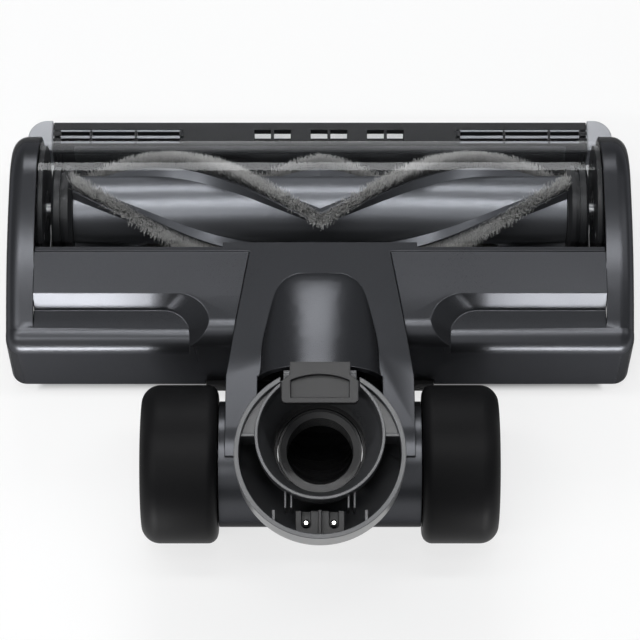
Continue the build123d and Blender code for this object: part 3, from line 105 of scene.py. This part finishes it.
# %% [markdown]
# Shader maths reads best as Python. A Signal wraps one output socket and adds Math nodes as it is
# used in an expression; a Finish owns one material, and its node method adds every other kind of node:
# the settings come first, then the values or links of its sockets. The vary method lets masks between
# 0 and 1 swing a value about its middle, each by its own width.


# %% Shader helpers
class Signal:
    def __init__(self, finish, socket):
        self.finish = finish
        self.socket = socket

    def math(self, operation, *values):
        return self.finish.node("ShaderNodeMath", {"operation": operation}, dict(enumerate(values)))

    def __add__(self, other):
        return self.math("ADD", self, other)

    def __sub__(self, other):
        return self.math("SUBTRACT", self, other)

    def __rsub__(self, other):
        return self.math("SUBTRACT", other, self)

    def __mul__(self, other):
        return self.math("MULTIPLY", self, other)


class Finish:
    def __init__(self, name, color=(0.5, 0.5, 0.5), **constants):
        self.material = bpy.data.materials.new(name)
        self.material.use_nodes = True
        self.tree = self.material.node_tree
        self.shader = self.tree.nodes["Principled BSDF"]
        self.shader.inputs["Base Color"].default_value = (*color, 1)
        for socket, value in constants.items():
            self.shader.inputs[socket.replace("_", " ")].default_value = value

    def node(self, kind, settings=None, inputs=None, output=0):
        made = self.tree.nodes.new(kind)
        for key, value in (settings or {}).items():
            if key == "stops":
                for stop, (position, shade) in zip(self.ramp_stops(made, len(value)), value):
                    stop.position, stop.color = position, (*shade, 1)
            else:
                setattr(made, key, value)
        for key, value in (inputs or {}).items():
            self.feed(made.inputs[key], value)
        return Signal(self, made.outputs[output])

    def ramp_stops(self, ramp, count):
        while len(ramp.color_ramp.elements) < count:
            ramp.color_ramp.elements.new(1)
        return ramp.color_ramp.elements

    def feed(self, socket, value):
        if isinstance(value, Signal):
            self.tree.links.new(value.socket, socket)
        else:
            socket.default_value = value

    def drive(self, socket, value):
        self.feed(self.shader.inputs[socket], value)

    def vary(self, socket, middle, *swings):
        value = middle - sum(swing for _, swing in swings) / 2
        for mask, swing in swings:
            value = mask * swing + value
        self.drive(socket, value)

    def position(self):
        return self.node("ShaderNodeTexCoord", output="Object")

    def noise(self, cells_per_metre, detail=2, vector=None):
        inputs = {"Vector": vector or self.position(), "Scale": cells_per_metre, "Detail": detail}
        return self.node("ShaderNodeTexNoise", inputs=inputs)

    def shades(self, mask, dark, light):
        return self.node("ShaderNodeValToRGB", {"stops": [(0, dark), (1, light)]}, {0: mask})

    def bump(self, height, distance):
        bumped = self.node("ShaderNodeBump", inputs={"Height": height, "Distance": distance})
        self.drive("Normal", bumped)

    def principled(self):
        return Signal(self, self.shader.outputs[0])

    def mix_surface(self, share, first, second):
        mixed = self.node("ShaderNodeMixShader", inputs={0: share, 1: first, 2: second})
        self.feed(self.tree.nodes["Material Output"].inputs["Surface"], mixed)


def tone(color, factor):
    return tuple(min(1, channel * factor) for channel in color)


finishes = {}

# %% [markdown]
# The covers are moulded in a plastic filled with fine aluminium flakes. From a step away that reads as
# satin gunmetal; close up the flakes are tiny brighter and darker grains. One noise with cells of a
# fifth of a millimetre makes the grains in colour and gloss, and a second, larger one keeps the sheen
# from being dead even.


# %% Flake-filled plastic
def flake_plastic(name, color, roughness, metallic, flake_size=0.00022, contrast=0.22):
    finish = Finish(name, color, IOR=1.5, Specular_IOR_Level=0.3, Specular_Tint=(0.15, 0.15, 0.16, 1))
    grain = finish.noise(1 / flake_size, detail=1)
    cloud = finish.noise(cells_per_metre=22)
    flakes = finish.shades(grain, tone(color, 1 - contrast), tone(color, 1 + contrast))
    finish.drive("Base Color", flakes)
    finish.vary("Roughness", roughness, (grain, 0.08), (cloud, 0.06))
    finish.vary("Metallic", metallic, (grain, 0.1))
    finish.bump(grain, distance=0.000004)
    return finish


finishes["gunmetal"] = flake_plastic("gunmetal_plastic", (0.066, 0.068, 0.074), 0.3, 0.78)
finishes["drum"] = flake_plastic("roller_plastic", (0.22, 0.225, 0.24), 0.38, 0.85)
finishes["light_grey"] = flake_plastic("bumper_plastic", (0.42, 0.43, 0.455), 0.42, 0.3)
print("flake finishes", sorted(finishes))

# %% [markdown]
# The other mouldings are plain black or dark grey, with a spark-eroded texture: a fine, even roughness
# that the mould's steel leaves on the surface. The same recipe with other colours and grains makes the
# rubber of tyres and belt, the felt and the board's green lacquer. The tyres hardly shine at all, and
# the hose is a little paler than the parts around it, so that its rings can be told apart.


# %% Textured black mouldings
def textured_plastic(name, color, roughness, grain_size=0.0004, depth=0.00001, shine=0.5):
    finish = Finish(name, color, IOR=1.49, Specular_IOR_Level=shine)
    grain = finish.noise(1 / grain_size, detail=3)
    cloud = finish.noise(cells_per_metre=40)
    finish.drive("Base Color", finish.shades(cloud, tone(color, 0.85), tone(color, 1.15)))
    finish.vary("Roughness", roughness, (cloud, 0.1), (grain, 0.08))
    finish.bump(grain, depth)
    return finish


finishes["black"] = textured_plastic("black_plastic", (0.012, 0.012, 0.013), 0.45)
finishes["neck_grey"] = textured_plastic("neck_plastic", (0.08, 0.082, 0.087), 0.3)
finishes["tyre_black"] = textured_plastic(
    "tyre_rubber", (0.006, 0.006, 0.0065), 0.5, grain_size=0.0006, depth=0.00002, shine=0.1
)
finishes["hose_black"] = textured_plastic("hose_vinyl", (0.045, 0.045, 0.047), 0.4)
finishes["belt_rubber"] = textured_plastic("belt_rubber", (0.01, 0.01, 0.011), 0.7)
finishes["felt"] = textured_plastic("felt_pile", (0.05, 0.05, 0.052), 0.95, 0.0003, 0.00008)
finishes["board_green"] = textured_plastic("solder_mask", (0.02, 0.1, 0.05), 0.35)
print("plain finishes", sorted(finishes))

# %% [markdown]
# Turned and stamped metal parts get fine lathe marks: a noise squeezed hard along one axis.


# %% Metals
def turned_metal(name, color, roughness, squeeze=(60, 1, 1)):
    finish = Finish(name, color, Metallic=1.0)
    stretched = finish.node("ShaderNodeMapping", inputs={"Vector": finish.position(), "Scale": squeeze})
    marks = finish.noise(cells_per_metre=90, detail=3, vector=stretched)
    finish.drive("Base Color", finish.shades(marks, tone(color, 0.85), tone(color, 1.1)))
    finish.vary("Roughness", roughness, (marks, 0.2))
    finish.bump(marks, distance=0.000003)
    return finish


finishes["steel"] = turned_metal("turned_steel", (0.5, 0.5, 0.51), 0.3)
finishes["motor_can"] = turned_metal("zinc_plate", (0.36, 0.36, 0.37), 0.4)
finishes["brass"] = turned_metal("plated_contact", (0.7, 0.68, 0.64), 0.18)

# %% [markdown]
# The window is clear polycarbonate. Light has to get in and out again to show the roller, so it is a
# mix of plain transparency and a mirror-bright shader, by how steeply the surface is seen: clear from
# straight above, bright towards its edges. The shader itself is fully metallic, because the mix has
# already taken the few per cent that a clear sheet reflects. Only the outer faces mirror: seen from
# within, a sheet drawn without refraction would wrongly act as a full mirror. Half of the mirror is
# left out, so that the soft boxes don't veil the bristles.

# %% Clear window
clear = Finish("clear_polycarbonate", (0.95, 0.96, 0.98), Metallic=1.0)
mirror_strength = 0.5
clear.vary("Roughness", 0.04, (clear.noise(cells_per_metre=60), 0.04))
glancing = clear.node("ShaderNodeFresnel", inputs={"IOR": 1.58})
inside = clear.node("ShaderNodeNewGeometry", output="Backfacing")
through = clear.node("ShaderNodeBsdfTransparent", inputs={"Color": (0.95, 0.955, 0.96, 1)})
clear.mix_surface(glancing * (1 - inside) * mirror_strength, through, clear.principled())
finishes["clear"] = clear

# %% [markdown]
# The bristles are grey nylon. Towards the root, where they stand close together, their colour carries a
# painted shade. The distance from the roller's axis tells the root from the tip, and a fine noise makes
# neighbouring hairs differ.

# %% Bristle nylon
bristle_root_radius = 0.0172
bristle_tip_radius = 0.0243
nylon = Finish("grey_nylon", (0.2, 0.19, 0.18), Roughness=0.55, IOR=1.53)
from_axis = nylon.node(
    "ShaderNodeVectorMath",
    {"operation": "SUBTRACT"},
    {0: nylon.position(), 1: tuple(roller_axis)},
)
across = nylon.node("ShaderNodeVectorMath", {"operation": "MULTIPLY"}, {0: from_axis, 1: (0, 1, 1)})
radius = nylon.node("ShaderNodeVectorMath", {"operation": "LENGTH"}, {0: across}, "Value")
height = (radius - bristle_root_radius) * (1 / (bristle_tip_radius - bristle_root_radius))
tufts = nylon.noise(cells_per_metre=2600, detail=1)
# painted shade: the hairs are darkened towards the root, where shade falls among them; the fine noise only varies
# their tone
root_painted_shade, tip_shade = (0.02, 0.019, 0.018), (0.62, 0.61, 0.59)
painted_shade_and_tufts = height * 0.7 + tufts * 0.9 - 0.3
nylon.drive("Base Color", nylon.shades(painted_shade_and_tufts, root_painted_shade, tip_shade))
nylon.vary("Roughness", 0.55, (tufts, 0.2))
finishes["bristle"] = nylon

# %% [markdown]
# The record says which slot each CAD node takes its finish from, so one loop dresses them all.

# %% Dress the CAD nodes
slot_of = {subpart["node"]: subpart["material_slot"] for subpart in frame["record"]["subparts"]}
for node, slot in slot_of.items():
    mesh = frame["nodes"][node].data
    mesh.materials.clear()
    mesh.materials.append(finishes[slot].material)
print("dressed", len(slot_of), "nodes")

# %% [markdown]
# New pieces are finished the same way each time: the bmesh becomes a mesh, and the mesh an object at
# the origin that gets its material and slot and rides on a CAD body. Edges are rounded by a bevel.


# %% Piece helpers
def round_edges(bm, edges, width):
    bmesh.ops.bevel(bm, geom=edges, offset=width, segments=2, profile=0.5, affect="EDGES", material=-1)


def mesh_of(bm, name):
    mesh = bpy.data.meshes.new(name)
    bm.to_mesh(mesh)
    bm.free()
    return mesh


def piece(name, mesh, slot, body=None, smooth=True):
    made = bpy.data.objects.new(name, mesh)
    bpy.context.scene.collection.objects.link(made)
    mesh.materials.clear()
    mesh.materials.append(finishes[slot].material)
    mesh.shade_smooth() if smooth else mesh.shade_flat()
    if body:
        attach(made, body)
    print(name, len(mesh.polygons), "faces")
    return made


# %% [markdown]
# A moulding never has a knife edge: the mould leaves a small round on each corner, and on a dark part
# that round is what catches the light and draws its outline. The CAD solids have sharp corners, so
# each visible moulding gets a copy whose loose triangles are merged, whose flat faces are joined
# again, and whose sharp edges are bevelled by two or three tenths of a millimetre. Normals weighted by
# the area of the faces keep the large flats flat in their shading, right up to the small rounds.

# %% Rounded mouldings
bodies = frame["record"]["behaviour"]["bodies"]
body_of = {node: body for body, nodes in bodies.items() for node in nodes}
merge_distance = 0.000002
flat_angle = math.radians(0.2)
sharp_angle = math.radians(28)
shading_angle = math.radians(18)


def rounded_moulding(node, edge=0.0002):
    bm = bmesh.new()
    bm.from_mesh(frame["nodes"][node].data)
    bmesh.ops.remove_doubles(bm, verts=bm.verts, dist=merge_distance)
    bmesh.ops.dissolve_limit(bm, angle_limit=flat_angle, verts=bm.verts, edges=bm.edges)
    corners = [item for item in bm.edges if item.is_manifold and item.calc_face_angle() > sharp_angle]
    round_edges(bm, corners, edge)
    mesh = mesh_of(bm, node + "_rounded")
    made = piece(node + "_rounded", mesh, slot_of[node], body_of[node])
    mesh.set_sharp_from_angle(angle=shading_angle)
    weighted = made.modifiers.new("weighted_normals", "WEIGHTED_NORMAL")
    weighted.keep_sharp = True
    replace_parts(made, node)


for node in ("cover_left", "cover_right", "saddle_cover", "corner_bumper_left", "corner_bumper_right"):
    rounded_moulding(node, 0.0003)
for node in ("front_bar", "barrel_cradle", "base_housing", "end_plate_left", "end_plate_right"):
    rounded_moulding(node)
for node in ("neck_barrel", "neck_cup", "release_latch", "contact_block", "suction_duct"):
    rounded_moulding(node, 0.00025)

# %% [markdown]
# The clear strip over the long front openings shows three bright lines on each side, where its edges
# pipe the light. These are painted highlights: thin pale bars laid across the openings of the dark bar,
# level with its top.

# %% Painted highlights of the front strip
# painted highlight: pale bars stand in for the light along the clear strip's edges
highlight_bar_inner = 0.0566
highlight_bar_outer = 0.1115
highlight_bar_places = ((0.0405, 0.0007), (0.0376, 0.0012), (0.0351, 0.0007))
highlight_bar_height = 0.0006
highlight_bar_bevel = 0.00012
bar_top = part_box("front_bar")[1].z
bm = bmesh.new()
for side in (-1, 1):
    for forward, width in highlight_bar_places:
        middle = side * (highlight_bar_inner + highlight_bar_outer) / 2
        centre = Vector((middle, roller_axis.y + forward, bar_top - highlight_bar_height / 2))
        size = (highlight_bar_outer - highlight_bar_inner, width, highlight_bar_height)
        bmesh.ops.create_cube(bm, size=1, matrix=Matrix.LocRotScale(centre, None, size))
round_edges(bm, bm.edges[:], highlight_bar_bevel)
piece("painted_strip_highlights", mesh_of(bm, "painted_strip_highlights"), "light_grey", "head", smooth=False)

# %% [markdown]
# A bristle row is thousands of stiff little hairs. Making each one in the full row would be slow, so a
# short patch of the row is filled first, hair by hair, and the finished patch is then copied along the
# helix. Seven different patches keep the eye from finding the repeat. Each hair is a thin three-sided
# cone, leaning a little its own way, and the hairs of a row fan out because they stand on a round drum.

# %% Patches of hair
row_start_angle = math.radians(129)
row_twist = math.radians(1.65) / 0.001
row_half_length = (drum_high.x - drum_low.x) / 2
row_count = 3
row_root_width = 0.0036
patch_length = 0.004
patch_count = 7
hairs_in_patch = 170
hair_radius = 0.00016
hair_lean = 0.17
tip_share = 0.45
shortest_hair = 0.86
dice = random.Random(7)


def hair_patch(count, width, height, radius, lean, fan_radius=1.0):
    bm = bmesh.new()
    for _ in range(count):
        along = dice.uniform(0, patch_length)
        across = dice.uniform(-0.5, 0.5) * width
        fan = Matrix.Rotation(-across / fan_radius, 4, "X")
        sideways = Matrix.Rotation(dice.gauss(0, lean), 4, "X")
        tilt = sideways @ Matrix.Rotation(dice.gauss(0, lean), 4, "Y")
        length = height * dice.uniform(shortest_hair, 1.0)
        foot = Matrix.Translation((along, across, 0))
        bmesh.ops.create_cone(
            bm,
            cap_ends=True,
            segments=3,
            radius1=radius,
            radius2=radius * tip_share,
            depth=length,
            matrix=foot @ fan @ tilt @ Matrix.Translation((0, 0, length / 2)),
        )
    return mesh_of(bm, "patch")


def stamp(bm, patch, matrix):
    copy = patch.copy()
    copy.transform(matrix)
    bm.from_mesh(copy)
    bpy.data.meshes.remove(copy)


bristle_length = bristle_tip_radius - bristle_root_radius
patch_shape = (hairs_in_patch, row_root_width, bristle_length, hair_radius, hair_lean)
patches = [hair_patch(*patch_shape, bristle_root_radius) for _ in range(patch_count)]
print("patch", len(patches[0].polygons), "faces")

# %% [markdown]
# A patch stands on the drum with its own X along the roller, its Z pointing away from the axis and its
# Y round the drum. Because the row turns back at the middle of the roller, each half has its own
# slant, put in as a shear, so that neighbouring patches meet edge to edge.


# %% Bristle rows on their helix
def row_angle(start, along):
    return start - row_twist * abs(along)


def bristle_row(name, start):
    bm = bmesh.new()
    steps = round(2 * row_half_length / patch_length)
    stride = 2 * row_half_length / steps
    for step in range(steps):
        along = -row_half_length + step * stride
        angle = row_angle(start, along)
        slant = (row_angle(start, along + stride) - angle) * bristle_root_radius / stride
        outward = Vector((0, math.cos(angle), math.sin(angle)))
        around = Vector((0, -math.sin(angle), math.cos(angle)))
        foot = Vector((along, roller_axis.y, roller_axis.z)) + outward * bristle_root_radius
        columns = (Vector((1, 0, 0)) + around * slant, around, outward, foot)
        stand = Matrix([column.to_4d() for column in columns]).transposed()
        stand[3] = (0, 0, 0, 1)
        stamp(bm, patches[dice.randrange(len(patches))], stand)
    bmesh.ops.recalc_face_normals(bm, faces=bm.faces)
    return piece(name, mesh_of(bm, name), "bristle", "brush_roller")


rows = []
for index in range(row_count):
    rows.append(bristle_row(f"bristle_row_{index + 1}", row_start_angle + index * math.tau / row_count))
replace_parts(rows[0], "bristle_strips")

# %% [markdown]
# Behind the brush mouth sits a low strip of short pile that keeps the air in. It is made like the
# bristle rows: a thin backing, and patches of fine hair stamped under it, pointing down.

# %% Pile strip in the sole
seal_low, seal_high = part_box("sole_seal")
backing_thickness = 0.0007
backing_bevel = 0.0002
pile_height = seal_high.z - seal_low.z - backing_thickness
pile_width = (seal_high.y - seal_low.y) * 0.86
pile_hairs = 110
pile_radius = 0.0001
pile_lean = 0.12
pile_shape = (pile_hairs, pile_width, pile_height, pile_radius, pile_lean)
pile_patches = [hair_patch(*pile_shape) for _ in range(3)]
bm = bmesh.new()
backing_centre = (seal_low + seal_high) / 2
backing_centre.z = seal_high.z - backing_thickness / 2
backing_size = (seal_high.x - seal_low.x, seal_high.y - seal_low.y, backing_thickness)
backing_place = Matrix.LocRotScale(backing_centre, None, backing_size)
bmesh.ops.create_cube(bm, size=1, matrix=backing_place)
round_edges(bm, bm.edges[:], backing_bevel)
for step in range(int((seal_high.x - seal_low.x) / patch_length)):
    along = seal_low.x + (step + 1) * patch_length
    foot = Vector((along, backing_centre.y, seal_high.z - backing_thickness))
    upside_down = Matrix.Translation(foot) @ Matrix.Rotation(math.pi, 4, "Y")
    stamp(bm, pile_patches[step % len(pile_patches)], upside_down)
bmesh.ops.recalc_face_normals(bm, faces=bm.faces)
mesh = mesh_of(bm, "seal_pile")
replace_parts(piece("seal_pile", mesh, "felt", body_of["sole_seal"]), "sole_seal")

# %% [markdown]
# The two glide pads under the front corners are pressed felt. Felt has no straight surface, so the
# copied pad is divided finely and each point is moved a little in or out by a noise, but never down
# through the floor.

# %% Felt glide pads
longest_edge = 0.0006
felt_depth = 0.00009
felt_cells_per_metre = 1400
felt_level = 0.4
bm = bmesh.new()
bm.from_mesh(frame["nodes"]["glide_pads"].data)
bmesh.ops.remove_doubles(bm, verts=bm.verts, dist=merge_distance)
for _ in range(3):
    long_edges = [item for item in bm.edges if item.calc_length() > longest_edge]
    bmesh.ops.subdivide_edges(bm, edges=long_edges, cuts=1)
    bmesh.ops.triangulate(bm, faces=[face for face in bm.faces if len(face.verts) > 3])
bm.normal_update()
for vert in bm.verts:
    vert.co += vert.normal * felt_depth * (noise.noise(vert.co * felt_cells_per_metre) - felt_level)
    vert.co.z = max(vert.co.z, 0)
mesh = mesh_of(bm, "felt_pads")
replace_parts(piece("felt_pads", mesh, "felt", body_of["glide_pads"]), "glide_pads")

# %% [markdown]
# A tyre is moulded in two halves, and a fine seam runs round it where they met. The seam is a ring of
# three-sided section, spun round the axle and sunk into the tread so that only its ridge shows.

# %% Tyre seams
seam_across_tyre = 0.46
seam_height = 0.00008
seam_half_width = 0.0003
seam_sink = 0.0003


def tyre_seam(side, body):
    low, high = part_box("tyre_" + side)
    outer_x, inner_x = (low.x, high.x) if side == "left" else (high.x, low.x)
    place = outer_x + (inner_x - outer_x) * seam_across_tyre
    crest = (high.z - low.z) / 2 + seam_height
    foot = crest - seam_sink
    profile = [(place - seam_half_width, foot), (place, crest), (place + seam_half_width, foot)]
    bm = bmesh.new()
    ring = [bm.verts.new((x, barrel_axis.y, barrel_axis.z + r)) for x, r in profile]
    edges = [bm.edges.new((ring[index - 1], ring[index])) for index in range(len(ring))]
    bmesh.ops.spin(
        bm,
        geom=ring + edges,
        cent=barrel_axis,
        axis=(1, 0, 0),
        angle=math.tau,
        steps=120,
        use_merge=True,
    )
    bmesh.ops.recalc_face_normals(bm, faces=bm.faces)
    piece("tyre_seam_" + side, mesh_of(bm, "tyre_seam_" + side), "tyre_black", body)


tyre_seam("left", "wheel_left")
tyre_seam("right", "wheel_right")

# %% [markdown]
# The hose that carries the dirt runs from the duct round the barrel's axis and up the neck. On the
# real head it is one corrugated tube that bends as the neck tips; here it is built once, in its resting
# bend. A ring of edges is extruded step by step along the route, in and out for each corrugation,
# and the finished wall is then given its thickness.

# %% Corrugated hose
hose_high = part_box("inner_hose")[1]
hose_outer = 0.016
hose_valley = 0.0136
hose_wall = 0.0008
hose_pitch = 0.0036
hose_segments = 40
hose_bend = 0.024
hose_up = 0.0395
bend_angle = math.asin(neck_direction.z)
bend_run = hose_bend * math.tan(bend_angle / 2)
straight_in = hose_high.y - barrel_axis.y - bend_run
straight_out = hose_up - bend_run
route_length = straight_in + hose_bend * bend_angle + straight_out


def route_frame(distance):
    """Centre and heading of the hose after a distance along its route."""
    start = Vector((0, hose_high.y, barrel_axis.z))
    if distance < straight_in:
        return start + Vector((0, -distance, 0)), 0.0
    turned = min((distance - straight_in) / hose_bend, bend_angle)
    corner = start + Vector((0, -straight_in, hose_bend))
    centre = corner + Vector((0, -math.sin(turned), -math.cos(turned))) * hose_bend
    beyond = max(0.0, distance - straight_in - hose_bend * bend_angle)
    return centre + Vector((0, -math.cos(turned), math.sin(turned))) * beyond, turned


def ring_matrix(distance, ring_radius):
    centre, turned = route_frame(distance)
    upright = Matrix.Rotation(math.radians(90) - turned, 4, "X")
    return Matrix.Translation(centre) @ upright @ Matrix.Scale(ring_radius, 4)


corrugation = [(0.0, hose_valley), (0.3, hose_valley), (0.42, hose_outer), (0.88, hose_outer)]
turns = int(route_length / hose_pitch)
stations = []
for turn in range(turns):
    stations += [((turn + share) * route_length / turns, ring) for share, ring in corrugation]
bm = bmesh.new()
bmesh.ops.create_circle(bm, segments=hose_segments, radius=1, matrix=ring_matrix(*stations[0]))
loop = bm.edges[:]
for last, (distance, ring) in zip(stations, stations[1:]):
    grown = bmesh.ops.extrude_edge_only(bm, edges=loop)["geom"]
    verts = [item for item in grown if isinstance(item, bmesh.types.BMVert)]
    loop = [item for item in grown if isinstance(item, bmesh.types.BMEdge)]
    step = ring_matrix(distance, ring) @ ring_matrix(*last).inverted()
    bmesh.ops.transform(bm, matrix=step, verts=verts)
bmesh.ops.recalc_face_normals(bm, faces=bm.faces)
bmesh.ops.solidify(bm, geom=bm.faces[:], thickness=hose_wall)
bmesh.ops.recalc_face_normals(bm, faces=bm.faces)
hose_mesh = mesh_of(bm, "corrugated_hose")
hose = piece("corrugated_hose", hose_mesh, "black", smooth=False)
hose_mesh.materials[0] = finishes["hose_black"].material
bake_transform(hose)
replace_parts(hose, "inner_hose")

# %% [markdown]
# The floor and the light. The photograph is a studio cut-out on white: the floor is pale and keeps a
# soft shadow, and what the camera sees beyond it is plain white, while the lamps stay at a level at
# which a colour looks as it is written. Under the head the white fades out, and in reflections close
# around it too, so that the floor seen through the window and the slots, or mirrored in the rear
# walls, keeps the head's own dark shadow.

# %% Studio
floor_half_size = 3.0
white_share = 0.72
shadow_fade = 0.004
mirror_margin, mirror_fade = 0.02, 0.03
sole_low, sole_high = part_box("sole_plate")
footprint_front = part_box("front_bar")[1].y + 0.005
footprint_half_width = sole_high.x
footprint_centre = (sole_low.y + footprint_front) / 2
footprint_half_depth = (footprint_front - sole_low.y) / 2


def backdrop_material():
    finish = Finish("pale_backdrop", (0.82, 0.82, 0.82), Roughness=0.9)

    def ray(kind):
        return finish.node("ShaderNodeLightPath", output=kind)

    def along(axis):
        return finish.node("ShaderNodeSeparateXYZ", inputs={0: finish.position()}, output=axis)

    def reach(offset, half_size):
        return offset.math("ABSOLUTE", offset) - half_size

    def fade(distance, margin, width):
        slope = (distance - margin) * (1 / width)
        return slope.math("MINIMUM", slope.math("MAXIMUM", slope, 0.0), 1.0)

    beside = reach(along("X"), footprint_half_width)
    behind = reach(along("Y") - footprint_centre, footprint_half_depth)
    outside = beside.math("MAXIMUM", beside, behind)
    mirrored = ray("Is Glossy Ray") + ray("Is Transmission Ray")
    seen = ray("Is Camera Ray") * fade(outside, 0.0, shadow_fade)
    seen = seen + mirrored * fade(outside, mirror_margin, mirror_fade)
    share = seen.math("MINIMUM", seen, 1.0) * white_share
    white = finish.node("ShaderNodeEmission", inputs={"Color": (1, 1, 1, 1), "Strength": 1.0})
    finish.mix_surface(share, finish.principled(), white)
    return finish.material


bm = bmesh.new()
bmesh.ops.create_grid(bm, x_segments=1, y_segments=1, size=floor_half_size)
floor_mesh = mesh_of(bm, "floor")
floor = bpy.data.objects.new("floor", floor_mesh)
floor_mesh.materials.append(backdrop_material())
bpy.context.scene.collection.objects.link(floor)

world = bpy.data.worlds.new("studio")
bpy.context.scene.world = world
world.use_nodes = True
nodes, links = world.node_tree.nodes, world.node_tree.links
path = nodes.new("ShaderNodeLightPath")
dim_strength = 0.14
dim = nodes["Background"]
dim.inputs["Color"].default_value = (0.9, 0.94, 1.0, 1)
dim.inputs["Strength"].default_value = dim_strength
white = nodes.new("ShaderNodeBackground")
white.inputs["Strength"].default_value = 1.0
choose = nodes.new("ShaderNodeMixShader")
links.new(path.outputs["Is Camera Ray"], choose.inputs[0])
links.new(dim.outputs[0], choose.inputs[1])
links.new(white.outputs[0], choose.inputs[2])
links.new(choose.outputs[0], nodes["World Output"].inputs["Surface"])

# %% [markdown]
# Soft boxes. A long narrow strip right above the head draws the bright lines along the window, the
# cheeks and the barrel. A second strip stands back and to the left, so the rear fillet shines on that
# side only. A large box from the left, a weaker one from the right and one behind the camera fill the
# shadows, and one in front of the head shapes the cowl and the arms. A small lamp looks down into the
# throat, and two narrow ones low behind the head light the sloping steps of the rear covers.


# %% Lamps
def soft_box(name, direction, distance, size, watts, shift=0, aim=view_centre, spread=180):
    data = bpy.data.lights.new(name, "AREA")
    data.shape = "RECTANGLE"
    data.size, data.size_y = size
    data.energy = watts
    data.spread = math.radians(spread)
    lamp = bpy.data.objects.new(name, data)
    lamp.location = aim + Vector(direction).normalized() * distance + Vector((shift, 0, 0))
    lamp.rotation_euler = Vector(direction).to_track_quat("Z", "Y").to_euler()
    bpy.context.scene.collection.objects.link(lamp)


soft_box("top_strip", (0, 0.05, 1), 1.2, (1.5, 0.09), 7)
soft_box("back_strip", (0, -0.7, 1), 1.3, (1.3, 0.08), 5, shift=-0.8)
soft_box("left_key", (-0.55, -0.1, 0.9), 1.4, (0.8, 0.9), 3.2)
soft_box("right_fill", (0.9, 0.2, 0.7), 1.6, (0.6, 0.9), 2)
soft_box("behind_camera", (0, -1, 1), 1.6, (0.3, 1.1), 1.2)
soft_box("front_soft", (-0.05, 0.77, 0.64), 1.1, (0.5, 0.3), 3.0)
soft_box("throat_light", (0, -0.2, 0.98), 1.2, (0.15, 0.15), 1.2)
bevel_place = roller_axis + Vector((0, -0.06, 0.018))
for side, shift, watts in (("left", -0.185, 0.115), ("right", 0.185, 0.085)):
    soft_box("bevel_" + side, (0, -1, -0.2), 0.16, (0.22, 0.03), watts, shift, bevel_place, spread=70)
